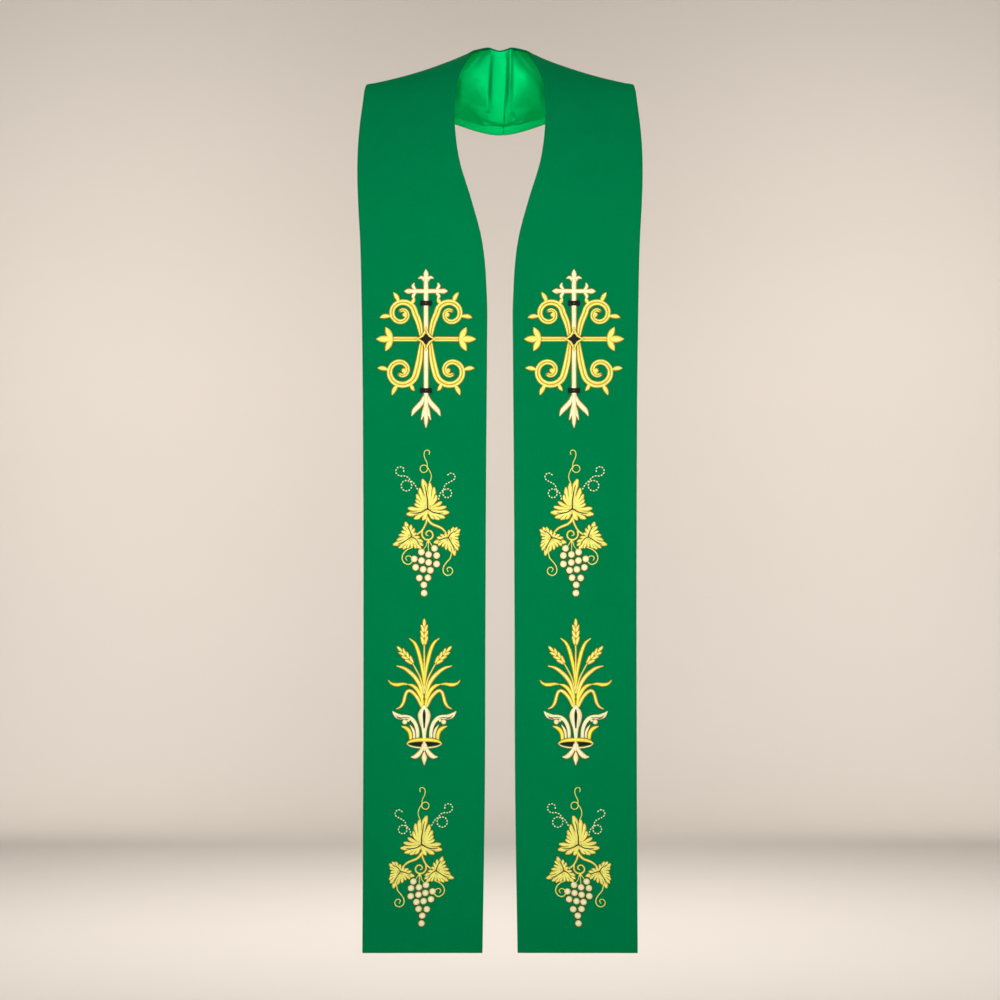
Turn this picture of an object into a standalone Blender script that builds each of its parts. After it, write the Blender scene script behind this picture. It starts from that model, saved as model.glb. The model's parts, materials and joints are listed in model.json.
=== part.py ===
"""A clerical stole in its worn shape: two bands of cloth with satin linings, seamed behind the neck.

Millimetres in the tables and functions, metres in the meshes. +X is the wearer's left, the wearer faces -Y
and +Z is up. The origin is the middle of the neck opening, level with the cloth beside the neck.
"""

import math

import bmesh
import bpy
import numpy as np

METRES = 0.001
SHARP_ANGLE = math.radians(40)

# Cloth walls
FACE_WALL = 1.2
LINING_WALL = 1.0
CLOTH_GAP = 0.3
LINING_INSET = 0.8

# The centre-back seam has slipped this far to the wearer's left; the shift fades out over the ease.
SEAM_X = 6.0
SEAM_EASE = 70.0

# Grid of the cloth
CELLS_ACROSS = 6
CURVED_PITCH = 11.0
STRAIGHT_PITCH = 72.0
STEP_ALONG = 0.5
STEP_ACROSS = 0.01
HALVINGS = 30

# Embroidery
THREAD_HEIGHT = 0.9
BUD_HEIGHT = 1.2
DISC_SIDES = 8
PETAL_SHARES = np.array((0, 0.35, 0.7, 1))
PETAL_WIDTHS = np.array((0.35, 1, 0.8, 0.1))

# One row for each section of the left band, from the centre back over the shoulder to the hem: its neck
# edge, its outer edge and how deep the cloth hollows between them.
STATIONS = (
    # name, neck x, neck y, neck z, outer x, outer y, outer z, hollow
    ("centre back", 0, 63, 25, 0, 113, -85, 4),
    ("nape", 16.5, 57, 28.5, 70, 106, -68, 4),
    ("behind the neck", 27.5, 47, 25, 125, 82, -50, 5),
    ("behind the ridge", 32.5, 40, 22.5, 160, 46, -39, 5),
    ("shoulder ridge", 37, 33, 19, 177.5, 10, -29.5, 4),
    ("before the ridge", 48.5, 7, -2, 182, -6, -37, 3),
    ("collarbone", 57, -14, -26, 184, -20, -57, 1),
    ("neck at its widest", 60.5, -34, -56, 187, -36, -86, 0),
    ("upper chest", 60, -52, -91, 189, -52, -119, 0),
    ("chest", 53.5, -71, -140, 189, -70, -161, 0),
    ("breast", 37.5, -84, -194, 187, -83, -205, 0),
    ("lower breast", 25, -89, -241, 184.5, -89, -247, 0),
    ("straight", 17, -90, -327, 182.5, -90, -327, 0),
    ("ribs", 17, -90, -392, 181.5, -90, -392, 0),
    ("waist", 18, -90, -524, 180.5, -90, -524, 0),
    ("thigh", 19, -90, -722, 180, -90, -722, 0),
    ("knee", 20, -90, -985, 180.5, -90, -985, 0),
    ("hem", 23, -90, -1187, 181.5, -90, -1187, 0),
)
STATION_NAMES = [row[0] for row in STATIONS]
HALF_TABLE = np.array([row[1:] for row in STATIONS], float)
OTHER_SIDE = HALF_TABLE[:0:-1] * (-1, 1, 1, -1, 1, 1, 1)
TABLE = np.vstack((OTHER_SIDE, HALF_TABLE))
FRONT_Y = HALF_TABLE[-1, 1]

# Colours: red, green, blue, then roughness and metallic value
FACE_GREEN = (0.0, 0.19, 0.06, 0.85, 0.0)
LINING_GREEN = (0.0, 0.42, 0.11, 0.35, 0.0)
GOLD_THREAD = (0.85, 0.56, 0.09, 0.4, 0.3)

# Emblems: where on the band the point is that their shapes are drawn from
EMBLEMS = (
    # name, shape, x, z, mirrored
    ("cross", "cross", 97.5, -378, False),
    ("upper_vine", "vine", 95.5, -601, True),
    ("wheat", "wheat", 100, -910, False),
    ("lower_vine", "vine", 103.5, -1042, False),
)

# A line is a row of points, each x, z and the width of the thread there. A petal is a foot's x and z, a
# heading in degrees, a length and a width. A curl is a line that winds in: centre x and z, outer and inner
# radius, the angle it starts at, its turns (counter-clockwise where positive), and its two end widths.
LEAF_REACH = (
    # angle, reach of the main leaf
    (-90, 11),
    (-62, 18),
    (-12, 29),
    (44, 18),
    (76, 29),
    (98, 39),
    (118, 25),
    (152, 18),
    (194, 31),
    (242, 18),
    (270, 11),
)
LEAF_TEETH = 14
TOOTH_DEPTH = 0.12
SMALL_LEAVES = (
    # x, z, size as a share of the main leaf, turn in degrees
    (-21.5, -37, 0.7, 108),
    (27, -38, 0.67, -165),
)
GRAPE_ROWS = (
    # z, x of the first, how many
    (-52, 9, 1),
    (-57, -8.5, 3),
    (-66, -17.5, 4),
    (-77, -15.5, 3),
    (-90.5, -10.5, 2),
    (-101, -5, 1),
    (-111.5, -5, 1),
)
GRAPE_PITCH = 9.7
GRAPE_FALL = 1.9
GRAPE_RADIUS = 5.3
VINE_LINES = (
    ((0, -8, 3.2), (-3, -22, 2.8), (-15, -34, 2.8)),
    ((0, -8, 3.2), (9, -21, 3.2), (25, -30, 2.6)),
    ((-4, -24, 2.2), (-6, -34, 2.2), (0, -42, 2.2), (6, -37, 2.0), (2, -31, 2.0)),
    ((0, -40, 2.0), (-6, -56, 1.8)),
    ((0, -40, 2.4), (2, -70, 2.4), (-5, -108, 2.4)),
    ((0, -40, 2.0), (8, -50, 1.8)),
    ((1, 30, 2.2), (4, 42, 2.2), (-1, 58, 2.2), (-5, 71, 2.0), (0, 78, 2.0), (3, 73, 1.8)),
    ((-22, -48, 2.2), (-31, -56, 2.2), (-33, -66, 2.0), (-26, -73, 2.0), (-20, -68, 1.8)),
    ((32, -56, 2.2), (27, -68, 2.2), (21, -77, 2.0), (27, -88, 2.0), (33, -81, 1.8)),
)

# One side of the wheat, and the other is its mirror image
WHEAT_LINES = (
    ((-15, 106, 2.4), (-6.5, 88, 2.4), (0, 66, 3.0)),
    ((-19.5, 138, 0.8), (-9.5, 127, 3.4), (-5, 108, 4.4), (0, 84, 3.6)),
    ((-36, 102, 0.8), (-24, 96.5, 3.6), (-13, 87, 4.2), (-4, 75, 3.8), (0, 58, 3.4)),
    ((-47.5, 83, 0.8), (-38, 78, 4.0), (-22, 78, 2.2), (-13, 74, 4.2), (-5, 65, 4.4), (0, 50, 4.0)),
    ((-36.5, 45, 0.8), (-29, 52, 3.4), (-25.5, 65, 3.4), (-21, 69.5, 3.4), (-14, 66, 3.6), (0, 44, 4.0)),
    ((-42, 42, 1.6), (-32, 37, 6.0), (-21, 35, 6.0), (-12, 28, 6.4), (-8, 4, 6.0)),
    ((-30, 23, 0.8), (-22, 19, 4.4), (-18, 4, 4.6)),
)
WHEAT_STALK = ((0, 134, 2.4), (0, 90, 2.4), (0, 40, 5.0))
WHEAT_EARS = (
    # foot x, foot z, heading in degrees, length, width
    (0, 129, 90, 36, 12.5),
    (-14, 104, 133, 34, 11),
    (14, 104, 47, 34, 11),
)
CUP_LEAVES = (
    (0, -2, 90, 51, 17.5),
    (0, 2, -90, 31, 8),
    (-1, -1, -136, 24, 8),
    (1, -1, -44, 24, 8),
)
CUP_RIM = (23.5, 6.5)
CUP_SIDES = 12

# Bars: x, z, width, height
STAFF = (0, 0, 6.2, 142)
CROSS_BARS = (
    (0, 47.5, 15.5, 7),
    (0, -68, 15.5, 7),
    (0, 72, 5.4, 34),
    (0, 63.5, 46, 5.4),
    (0, 0, 98, 5.4),
)
DIAMOND = (13, 16.5)
# Trefoils that end the bars: tip x and z, heading in degrees, length of each leaf, its width
TREFOILS = (
    (0, 80, 90, 13, 6.5),
    (-16, 63.5, 180, 13, 6.5),
    (16, 63.5, 0, 13, 6.5),
    (-46, 0, 180, 20, 11),
    (46, 0, 0, 20, 11),
)
TREFOIL_SPREAD = 62
# One side of the scrolls: stem points, then the curl they run into
SCROLL_STEMS = (
    ((6, 3, 4.0), (9, 20, 7.0)),
    ((6, -5, 4.0), (8.5, -26, 7.5)),
)
SCROLL_CURLS = (
    (32, 33, 18, 4.5, 180, -1.3, 7.5, 4.0),
    (33, -42, 21, 5, 180, 1.3, 8.0, 4.5),
)
SCROLL_LEAVES = (
    (36, 49, 62, 13, 5),
    (47, 30, -8, 12, 5),
    (38, -61, -62, 13, 5),
    (50, -40, 8, 12, 5),
)
PENDANT = (
    (0, -69, -90, 48, 9.5),
    (-1, -70, -121, 36, 9),
    (1, -70, -59, 36, 9),
)
CURL_CELLS = 15
LINE_CELLS = 2


def collection(name, hidden):
    """A new collection under the scene's own."""
    found = bpy.data.collections.new(name)
    found.hide_render = hidden
    bpy.context.scene.collection.children.link(found)
    return found


def knots():
    """How far each section lies along the middle of the band, counted from the centre back."""
    middle = (TABLE[:, 0:3] + TABLE[:, 3:6]) / 2
    steps = np.linalg.norm(np.diff(middle, axis=0), axis=1)
    distance = np.concatenate(([0], np.cumsum(steps)))
    return distance - distance[len(OTHER_SIDE)]


KNOTS = knots()
STRAIGHT_AT = KNOTS[len(OTHER_SIDE) + STATION_NAMES.index("straight")]
HEM_AT = KNOTS[-1]


def slopes():
    """The table's slope at each section, from the sections on both sides of it."""
    gaps = np.diff(KNOTS)[:, None]
    steps = np.diff(TABLE, axis=0) / gaps
    inner = (steps[:-1] * gaps[1:] + steps[1:] * gaps[:-1]) / (gaps[1:] + gaps[:-1])
    return np.vstack((steps[:1], inner, steps[-1:]))


SLOPES = slopes()


def section(along):
    """The table's row at any distance along the band, on smooth curves through the sections."""
    i = int(np.clip(np.searchsorted(KNOTS, along) - 1, 0, len(KNOTS) - 2))
    gap = KNOTS[i + 1] - KNOTS[i]
    t = (along - KNOTS[i]) / gap
    ease = t * t * (3 - 2 * t)
    leaving = t * (1 - t) ** 2 * gap
    arriving = t * t * (t - 1) * gap
    return TABLE[i] * (1 - ease) + TABLE[i + 1] * ease + SLOPES[i] * leaving + SLOPES[i + 1] * arriving


def straight_across(across, along):
    """A point between the two edges, across running from 0 at the neck edge to 1 at the outer edge."""
    row = section(along)
    return row[0:3] * (1 - across) + row[3:6] * across


def outward(across, along):
    """The direction that the cloth's right side faces."""
    lengthwise = straight_across(across, along + STEP_ALONG) - straight_across(across, along - STEP_ALONG)
    crosswise = straight_across(across + STEP_ACROSS, along) - straight_across(across - STEP_ACROSS, along)
    normal = np.cross(lengthwise, crosswise)
    return normal / np.linalg.norm(normal)


def cloth_point(across, along, depth):
    """A point of the left band, depth below its right side."""
    hollow = section(along)[6] * 4 * across * (1 - across)
    return straight_across(across, along) - outward(across, along) * (hollow + depth)


def along_at_x(across, x):
    """Where the band crosses a plane beside the centre back."""
    low, high = -SEAM_EASE, SEAM_EASE
    for _ in range(HALVINGS):
        middle = (low + high) / 2
        if straight_across(across, middle)[0] < x:
            low = middle
        else:
            high = middle
    return low


def rows_along(end):
    """Distances of the grid's rows, close together where the band curves and far apart where it hangs."""
    curved = np.linspace(0, STRAIGHT_AT, round(STRAIGHT_AT / CURVED_PITCH) + 1)
    straight = np.linspace(STRAIGHT_AT, end, round((end - STRAIGHT_AT) / STRAIGHT_PITCH) + 1)
    return np.concatenate((curved, straight[1:]))


def finish(name, mesh, colour, folder):
    """Links an object for the mesh, shades it smooth and gives it its own material."""
    item = bpy.data.objects.new(name, mesh)
    folder.objects.link(item)
    mesh.shade_smooth()
    mesh.set_sharp_from_angle(angle=SHARP_ANGLE)
    material = bpy.data.materials.new(name)
    material.use_nodes = True
    shader = material.node_tree.nodes["Principled BSDF"]
    shader.inputs["Base Color"].default_value = (*colour[:3], 1)
    shader.inputs["Roughness"].default_value = colour[3]
    shader.inputs["Metallic"].default_value = colour[4]
    mesh.materials.append(material)
    return item


def band(name, side, depth, wall, inset, colour, folder):
    """One cut piece: the left band, or its mirror image where side is -1."""
    rows = rows_along(HEM_AT - inset)
    low = inset / (HALF_TABLE[-1, 3] - HALF_TABLE[-1, 0])
    seams = {}
    grid = bmesh.new()
    bmesh.ops.create_grid(grid, x_segments=CELLS_ACROSS, y_segments=len(rows) - 1, size=0.5)
    for vertex in grid.verts:
        across = low + (1 - 2 * low) * (vertex.co.x + 0.5)
        along = rows[round((vertex.co.y + 0.5) * (len(rows) - 1))]
        if across not in seams:
            seams[across] = along_at_x(across, side * SEAM_X + CLOTH_GAP / 2)
        along += seams[across] * max(0, 1 - along / SEAM_EASE)
        point = cloth_point(across, along, depth)
        vertex.co = (side * point[0] * METRES, point[1] * METRES, point[2] * METRES)
    bmesh.ops.triangulate(grid, faces=grid.faces, quad_method="FIXED")
    if side > 0:
        bmesh.ops.reverse_faces(grid, faces=grid.faces)
    mesh = bpy.data.meshes.new(name)
    grid.to_mesh(mesh)
    grid.free()
    item = finish(name, mesh, colour, folder)
    solidify = item.modifiers.new("wall", "SOLIDIFY")
    solidify.thickness = wall * METRES
    solidify.offset = -1
    solidify.use_even_offset = True
    return item


def smooth_line(points):
    """More points along a smooth curve through these."""
    table = np.array(points, float)
    before = np.vstack((2 * table[0] - table[1], table, 2 * table[-1] - table[-2]))
    line = [table[0]]
    for p0, p1, p2, p3 in zip(before, before[1:], before[2:], before[3:]):
        for k in range(1, LINE_CELLS + 1):
            t = k / LINE_CELLS
            bend = (2 * p0 - 5 * p1 + 4 * p2 - p3) * t * t + (3 * p1 - p0 - 3 * p2 + p3) * t**3
            line.append(p1 + ((p2 - p0) * t + bend) / 2)
    return line


def curl(x, z, outer, inner, start, turns, start_width, end_width):
    """Points that wind in from the outer radius to the inner one."""
    points = []
    for i in range(CURL_CELLS + 1):
        share = i / CURL_CELLS
        angle = math.radians(start + 360 * turns * share)
        radius = outer + (inner - outer) * share
        width = start_width + (end_width - start_width) * share
        points.append((x + radius * math.cos(angle), z + radius * math.sin(angle), width))
    return points


def ribbon(line):
    """Outline of a line of thread, from its points and widths."""
    table = np.array(line, float)
    headings = np.gradient(table[:, :2], axis=0)
    headings /= np.linalg.norm(headings, axis=1)[:, None]
    sideways = np.column_stack((-headings[:, 1], headings[:, 0])) * table[:, 2:3] / 2
    right = table[:, :2] - sideways
    left = table[:, :2] + sideways
    return [tuple(point) for point in np.vstack((right, left[::-1]))]


def petal(x, z, heading, length, width):
    """Outline of a pointed ear, leaf or lobe."""
    angle = math.radians(heading)
    far = PETAL_SHARES * length
    line = np.column_stack((x + far * math.cos(angle), z + far * math.sin(angle), PETAL_WIDTHS * width))
    return ribbon(line)


def oval(x, z, half_width, half_height, sides):
    """Outline of a round or oval disc."""
    turns = [2 * math.pi * i / sides for i in range(sides)]
    return [(x + half_width * math.cos(a), z + half_height * math.sin(a)) for a in turns]


def bar(x, z, width, height):
    """Outline of an upright or level bar."""
    line = ((x, z - height / 2, width), (x, z + height / 2, width))
    return ribbon(line)


def mirrored_line(line):
    """The same line on the other side of the emblem."""
    return [(-x, z, width) for x, z, width in line]


def vine_leaf(x, z, size, turn):
    """Outline of a toothed leaf with three long points."""
    angles, reaches = zip(*LEAF_REACH)
    outline = []
    for i in range(2 * LEAF_TEETH):
        angle = angles[0] + 360 * i / (2 * LEAF_TEETH)
        dent = 1 - TOOTH_DEPTH * (i % 2)
        reach = size * dent * np.interp(angle, angles, reaches)
        heading = math.radians(angle + turn)
        outline.append((x + reach * math.cos(heading), z + reach * math.sin(heading)))
    return outline


def cross_shapes():
    """A small cross over a staff with a diamond, a budded crossbar, four scrolls and a pendant leaf."""
    yield bar(*STAFF), THREAD_HEIGHT
    for sizes in CROSS_BARS:
        yield bar(*sizes), THREAD_HEIGHT
    yield oval(0, 0, *DIAMOND, 4), BUD_HEIGHT
    for x, z, heading, length, width in TREFOILS:
        for spread in (-TREFOIL_SPREAD, 0, TREFOIL_SPREAD):
            yield petal(x, z, heading + spread, length, width), BUD_HEIGHT
    for stem, sizes in zip(SCROLL_STEMS, SCROLL_CURLS):
        scroll = [*stem, *curl(*sizes)]
        yield ribbon(scroll), THREAD_HEIGHT
        yield ribbon(mirrored_line(scroll)), THREAD_HEIGHT
    for x, z, heading, length, width in SCROLL_LEAVES:
        yield petal(x, z, heading, length, width), THREAD_HEIGHT
        yield petal(-x, z, 180 - heading, length, width), THREAD_HEIGHT
    for leaf in PENDANT:
        yield petal(*leaf), THREAD_HEIGHT


def vine_shapes():
    """A vine leaf over two smaller ones, their tendrils and a bunch of grapes."""
    yield vine_leaf(0, 0, 1, 0), THREAD_HEIGHT
    for leaf in SMALL_LEAVES:
        yield vine_leaf(*leaf), THREAD_HEIGHT
    for line in VINE_LINES:
        yield ribbon(smooth_line(line)), THREAD_HEIGHT
    for z, x, count in GRAPE_ROWS:
        for i in range(count):
            centre = (x + i * GRAPE_PITCH, z - i * GRAPE_FALL)
            yield oval(*centre, GRAPE_RADIUS, GRAPE_RADIUS, DISC_SIDES), BUD_HEIGHT


def wheat_shapes():
    """Ears and blades of wheat standing in a leafy cup."""
    yield ribbon(WHEAT_STALK), THREAD_HEIGHT
    for line in WHEAT_LINES:
        yield ribbon(smooth_line(line)), THREAD_HEIGHT
        yield ribbon(smooth_line(mirrored_line(line))), THREAD_HEIGHT
    for ear in WHEAT_EARS:
        yield petal(*ear), BUD_HEIGHT
    for leaf in CUP_LEAVES:
        yield petal(*leaf), THREAD_HEIGHT
    yield oval(0, 0, *CUP_RIM, CUP_SIDES), BUD_HEIGHT


SHAPES = {"cross": cross_shapes, "vine": vine_shapes, "wheat": wheat_shapes}


def plate(name, outline, height, place, side, mirrored):
    """A flat piece of embroidery of one outline, standing just off the band's straight front."""
    x_at, z_at = place
    flip = -1 if mirrored else 1
    back = FRONT_Y - CLOTH_GAP
    shape = bmesh.new()
    ring = []
    for x, z in outline:
        point = (side * (x_at + flip * x) * METRES, back * METRES, (z_at + z) * METRES)
        ring.append(shape.verts.new(point))
    face = shape.faces.new(ring)
    raised = bmesh.ops.extrude_face_region(shape, geom=[face])["geom"]
    moved = [part for part in raised if isinstance(part, bmesh.types.BMVert)]
    bmesh.ops.translate(shape, verts=moved, vec=(0, -height * METRES, 0))
    bmesh.ops.recalc_face_normals(shape, faces=shape.faces)
    mesh = bpy.data.meshes.new(name)
    shape.to_mesh(mesh)
    shape.free()
    return mesh


def emblem(name, shape, place, side, mirrored, folder):
    """One embroidered emblem: every shape of it joined into one body."""
    outlines = list(SHAPES[shape]())
    parts = collection(f"{name}_shapes", hidden=True)
    for i, (outline, height) in enumerate(outlines[1:]):
        cutter = bpy.data.objects.new(f"{name}_{i}", plate(name, outline, height, place, side, mirrored))
        cutter.hide_render = True
        cutter.display_type = "WIRE"
        parts.objects.link(cutter)
    outline, height = outlines[0]
    item = finish(name, plate(name, outline, height, place, side, mirrored), GOLD_THREAD, folder)
    joined = item.modifiers.new("joined", "BOOLEAN")
    joined.operation = "UNION"
    joined.operand_type = "COLLECTION"
    joined.collection = parts
    joined.use_self = True
    return item


def build():
    """The whole stole."""
    for old in list(bpy.data.objects):
        bpy.data.objects.remove(old)
    stole = collection("clerical_stole", hidden=False)
    for side, suffix in ((1, "left"), (-1, "right")):
        band(f"face_{suffix}", side, 0, FACE_WALL, 0, FACE_GREEN, stole)
        under = FACE_WALL + CLOTH_GAP
        band(f"lining_{suffix}", side, under, LINING_WALL, LINING_INSET, LINING_GREEN, stole)
        for name, shape, x, z, mirrored in EMBLEMS:
            emblem(f"{name}_{suffix}", shape, (x, z), side, mirrored, stole)


build()
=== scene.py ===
import json
import math

import bmesh
import bpy
import numpy as np
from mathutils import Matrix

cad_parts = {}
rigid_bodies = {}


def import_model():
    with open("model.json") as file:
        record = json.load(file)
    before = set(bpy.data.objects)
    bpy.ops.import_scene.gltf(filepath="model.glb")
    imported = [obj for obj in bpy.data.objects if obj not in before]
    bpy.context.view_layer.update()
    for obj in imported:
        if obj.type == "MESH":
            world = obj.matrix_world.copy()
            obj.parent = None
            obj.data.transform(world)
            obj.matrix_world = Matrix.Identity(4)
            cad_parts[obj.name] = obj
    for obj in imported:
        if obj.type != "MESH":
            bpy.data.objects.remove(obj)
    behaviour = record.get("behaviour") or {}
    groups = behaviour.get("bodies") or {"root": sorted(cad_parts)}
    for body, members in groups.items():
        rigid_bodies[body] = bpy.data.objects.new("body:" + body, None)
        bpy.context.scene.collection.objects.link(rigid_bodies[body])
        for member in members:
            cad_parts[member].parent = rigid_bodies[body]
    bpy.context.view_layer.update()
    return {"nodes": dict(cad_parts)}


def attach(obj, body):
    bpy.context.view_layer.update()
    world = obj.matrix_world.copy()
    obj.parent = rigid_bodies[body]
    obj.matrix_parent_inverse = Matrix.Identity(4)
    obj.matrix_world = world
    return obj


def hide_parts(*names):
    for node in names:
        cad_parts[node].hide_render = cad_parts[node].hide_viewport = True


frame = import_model()
print("frame loaded:", len(frame["nodes"]), "nodes")

mm = 0.001  # tables are in millimetres, meshes in metres
sides = {"left": 1, "right": -1}  # the wearer's sides: left is +X


def meshOf(name, shape):
    mesh = bpy.data.meshes.new(name)
    shape.to_mesh(mesh)
    shape.free()
    return mesh


def newPiece(name, mesh, material):
    mesh.shade_smooth()
    mesh.materials.append(material)
    piece = bpy.data.objects.new(name, mesh)
    bpy.context.scene.collection.objects.link(piece)
    return piece


def unwrap(cells, uvLayer, where):  # from each vertex's own place on the cloth or the thread
    for cell in cells:
        for loop in cell.loops:
            loop[uvLayer].uv = where[loop.vert]


# the cloth's worn form, from the centre back over the wearer's left shoulder to the hem
cloth = {
    "sections": (
        # name, neck edge x y z, outer edge x y z, hollow between them
        ("centre back", 0, 63, 25, 0, 113, -85, 4),
        ("nape", 16.5, 57, 28.5, 70, 106, -68, 4),
        ("behind the neck", 27.5, 47, 25, 125, 82, -50, 5),
        ("behind the ridge", 32.5, 40, 22.5, 160, 46, -39, 5),
        ("shoulder ridge", 37, 33, 19, 177.5, 10, -29.5, 4),
        ("before the ridge", 48.5, 7, -2, 182, -6, -37, 3),
        ("collarbone", 57, -14, -26, 184, -20, -57, 1),
        ("neck at its widest", 60.5, -34, -56, 187, -36, -86, 0),
        ("upper chest", 60, -52, -91, 189, -52, -119, 0),
        ("chest", 53.5, -71, -140, 189, -70, -161, 0),
        ("breast", 37.5, -84, -194, 187, -83, -205, 0),
        ("lower breast", 25, -89, -241, 184.5, -89, -247, 0),
        ("straight", 17, -90, -327, 182.5, -90, -327, 0),
        ("ribs", 17, -90, -392, 181.5, -90, -392, 0),
        ("waist", 18, -90, -524, 180.5, -90, -524, 0),
        ("thigh", 19, -90, -722, 180, -90, -722, 0),
        ("knee", 20, -90, -985, 180.5, -90, -985, 0),
        ("hem", 23, -90, -1187, 181.5, -90, -1187, 0),
    ),
    "seamAtNeck": 10.0,  # the centre-back seam leans to the wearer's left
    "seamAtEdge": 4.4,
    "seamEase": 70.0,
    "seamGap": 0.04,
    "usualWidth": 160.0,  # the folds' places across are shares of this
    "foldEnds": 0.45,  # a fold's height at its ends, as a share of its middle's
}
folds = (
    # wearer's side, share across and distance along at each end, half width, height
    ("left", 0.07, 560, 0.13, 900, 10, 0.8),
    ("left", 0.90, 700, 0.82, 1010, 13, -1.0),
    ("left", 0.30, 330, 0.55, 470, 17, 0.7),
    ("left", 0.42, 980, 0.34, 1290, 15, 0.8),
    ("left", 0.70, 1120, 0.78, 1350, 12, -0.9),
    ("left", 0.20, 140, 0.50, 210, 15, -0.8),
    ("left", 0.62, 560, 0.70, 690, 16, 0.5),
    ("left", 0.12, 1100, 0.08, 1330, 8, -0.7),
    ("right", 0.10, 610, 0.06, 860, 9, -0.8),
    ("right", 0.88, 560, 0.92, 880, 11, 0.8),
    ("right", 0.36, 300, 0.62, 420, 19, -0.6),
    ("right", 0.60, 930, 0.70, 1220, 16, 0.9),
    ("right", 0.24, 1060, 0.20, 1340, 12, -0.8),
    ("right", 0.26, 150, 0.58, 225, 14, 0.7),
    ("right", 0.30, 540, 0.24, 680, 15, 0.5),
    ("right", 0.86, 1150, 0.93, 1350, 9, -0.8),
)
flutters = (
    # wearer's side, across at that edge, wave length, start of the wave, height
    ("left", 0, 236, 40, 1.1),
    ("left", 0, 143, 90, 0.5),
    ("left", 1, 281, 130, 1.2),
    ("left", 1, 167, 20, 0.5),
    ("right", 0, 263, 170, 1.2),
    ("right", 0, 151, 60, 0.4),
    ("right", 1, 219, 10, 1.0),
    ("right", 1, 178, 110, 0.6),
)
flutterFade = {"inwards": 34.0, "from": 330.0, "to": 700.0}

halfRows = np.array([row[1:] for row in cloth["sections"]], float)
sectionRows = np.vstack((halfRows[:0:-1] * (-1, 1, 1, -1, 1, 1, 1), halfRows))
middles = (sectionRows[:, 0:3] + sectionRows[:, 3:6]) / 2
knots = np.concatenate(([0], np.cumsum(np.linalg.norm(np.diff(middles, axis=0), axis=1))))
knots -= knots[len(halfRows) - 1]
hemAt = knots[-1]
knotGaps = np.diff(knots)[:, None]
knotSteps = np.diff(sectionRows, axis=0) / knotGaps
innerSlopes = (knotSteps[:-1] * knotGaps[1:] + knotSteps[1:] * knotGaps[:-1]) / (knotGaps[1:] + knotGaps[:-1])
slopes = np.vstack((knotSteps[:1], innerSlopes, knotSteps[-1:]))


def sectionAt(along):  # the table's row at any distance from the centre back, on smooth curves
    i = np.clip(np.searchsorted(knots, along) - 1, 0, len(knots) - 2)
    gap = (knots[i + 1] - knots[i])[..., None]
    t = (along - knots[i])[..., None] / gap
    ease = t * t * (3 - 2 * t)
    leaving = t * (1 - t) ** 2 * gap
    arriving = t * t * (t - 1) * gap
    places = sectionRows[i] * (1 - ease) + sectionRows[i + 1] * ease
    return places + slopes[i] * leaving + slopes[i + 1] * arriving


def betweenEdges(across, along):
    row = sectionAt(along)
    return row[..., 0:3] * (1 - across[..., None]) + row[..., 3:6] * across[..., None]


def bandWidth(along):
    row = sectionAt(along)
    return np.linalg.norm(row[..., 3:6] - row[..., 0:3], axis=-1)


def smoothStep(value):
    value = np.clip(value, 0, 1)
    return value * value * (3 - 2 * value)


def softRidge(x, y, x0, y0, x1, y1, halfWidth, height, outer=None):  # a soft fold, lower at its ends
    dx, dy = x1 - x0, y1 - y0
    share = np.clip(((x - x0) * dx + (y - y0) * dy) / (dx * dx + dy * dy), 0, 1)
    offX, offY = x - x0 - share * dx, y - y0 - share * dy
    away = np.hypot(offX, offY)
    if outer:  # another slope on its outer hand
        halfWidth = np.where((offX * dy - offY * dx) * x0 > 0, outer, halfWidth)
    ends = cloth["foldEnds"]
    return height * np.exp(-((away / halfWidth) ** 2)) * (ends + (1 - ends) * np.sin(math.pi * share))


def creaseHeight(side, across, along, creases):
    width = cloth["usualWidth"]
    height = np.zeros(np.broadcast(across, along).shape)
    for name, across0, along0, across1, along1, halfWidth, rise in creases:
        if sides[name] == side:
            ends = (across0 * width, along0, across1 * width, along1)
            height = height + softRidge(across * width, along, *ends, halfWidth, rise)
    return height


def foldHeight(side, across, along):  # how far the folds push the cloth outwards
    width = cloth["usualWidth"]
    height = creaseHeight(side, across, along, folds)
    start, end = flutterFade["from"], flutterFade["to"]
    fade = smoothStep((along - start) / (end - start))
    for name, edge, length, begin, rise in flutters:
        if sides[name] == side:
            near = np.exp(-np.abs(across - edge) * width / flutterFade["inwards"])
            height = height + rise * near * fade * np.sin(2 * math.pi * (along - begin) / length)
    return height


def bandPoints(side, across, along, lift):  # points of the left band, lifted off its right side
    across, along, lift = np.broadcast_arrays(across, along, lift)
    ahead, aside = 0.5, 0.01  # the cloth's slope is taken between points this far off
    lengthwise = betweenEdges(across, along + ahead) - betweenEdges(across, along - ahead)
    crosswise = betweenEdges(across + aside, along) - betweenEdges(across - aside, along)
    outward = np.cross(lengthwise, crosswise)
    outward /= np.linalg.norm(outward, axis=-1)[..., None]
    hollow = sectionAt(along)[..., 6] * 4 * across * (1 - across)
    raised = lift + foldHeight(side, across, along) - hollow
    return betweenEdges(across, along) + outward * raised[..., None]


def seamLine(across):  # x of the leaning centre-back seam
    return cloth["seamAtNeck"] + (cloth["seamAtEdge"] - cloth["seamAtNeck"]) * across


def seamPlace(side, across):  # the distance along at which the band meets that seam
    target = side * seamLine(across) + cloth["seamGap"] / 2
    low = np.full(across.shape, -cloth["seamEase"])
    high = -low
    for _ in range(30):  # halves the stretch that holds it
        middle = (low + high) / 2
        short = betweenEdges(across, middle)[..., 0] < target
        low = np.where(short, middle, low)
        high = np.where(short, high, middle)
    return low


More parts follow.
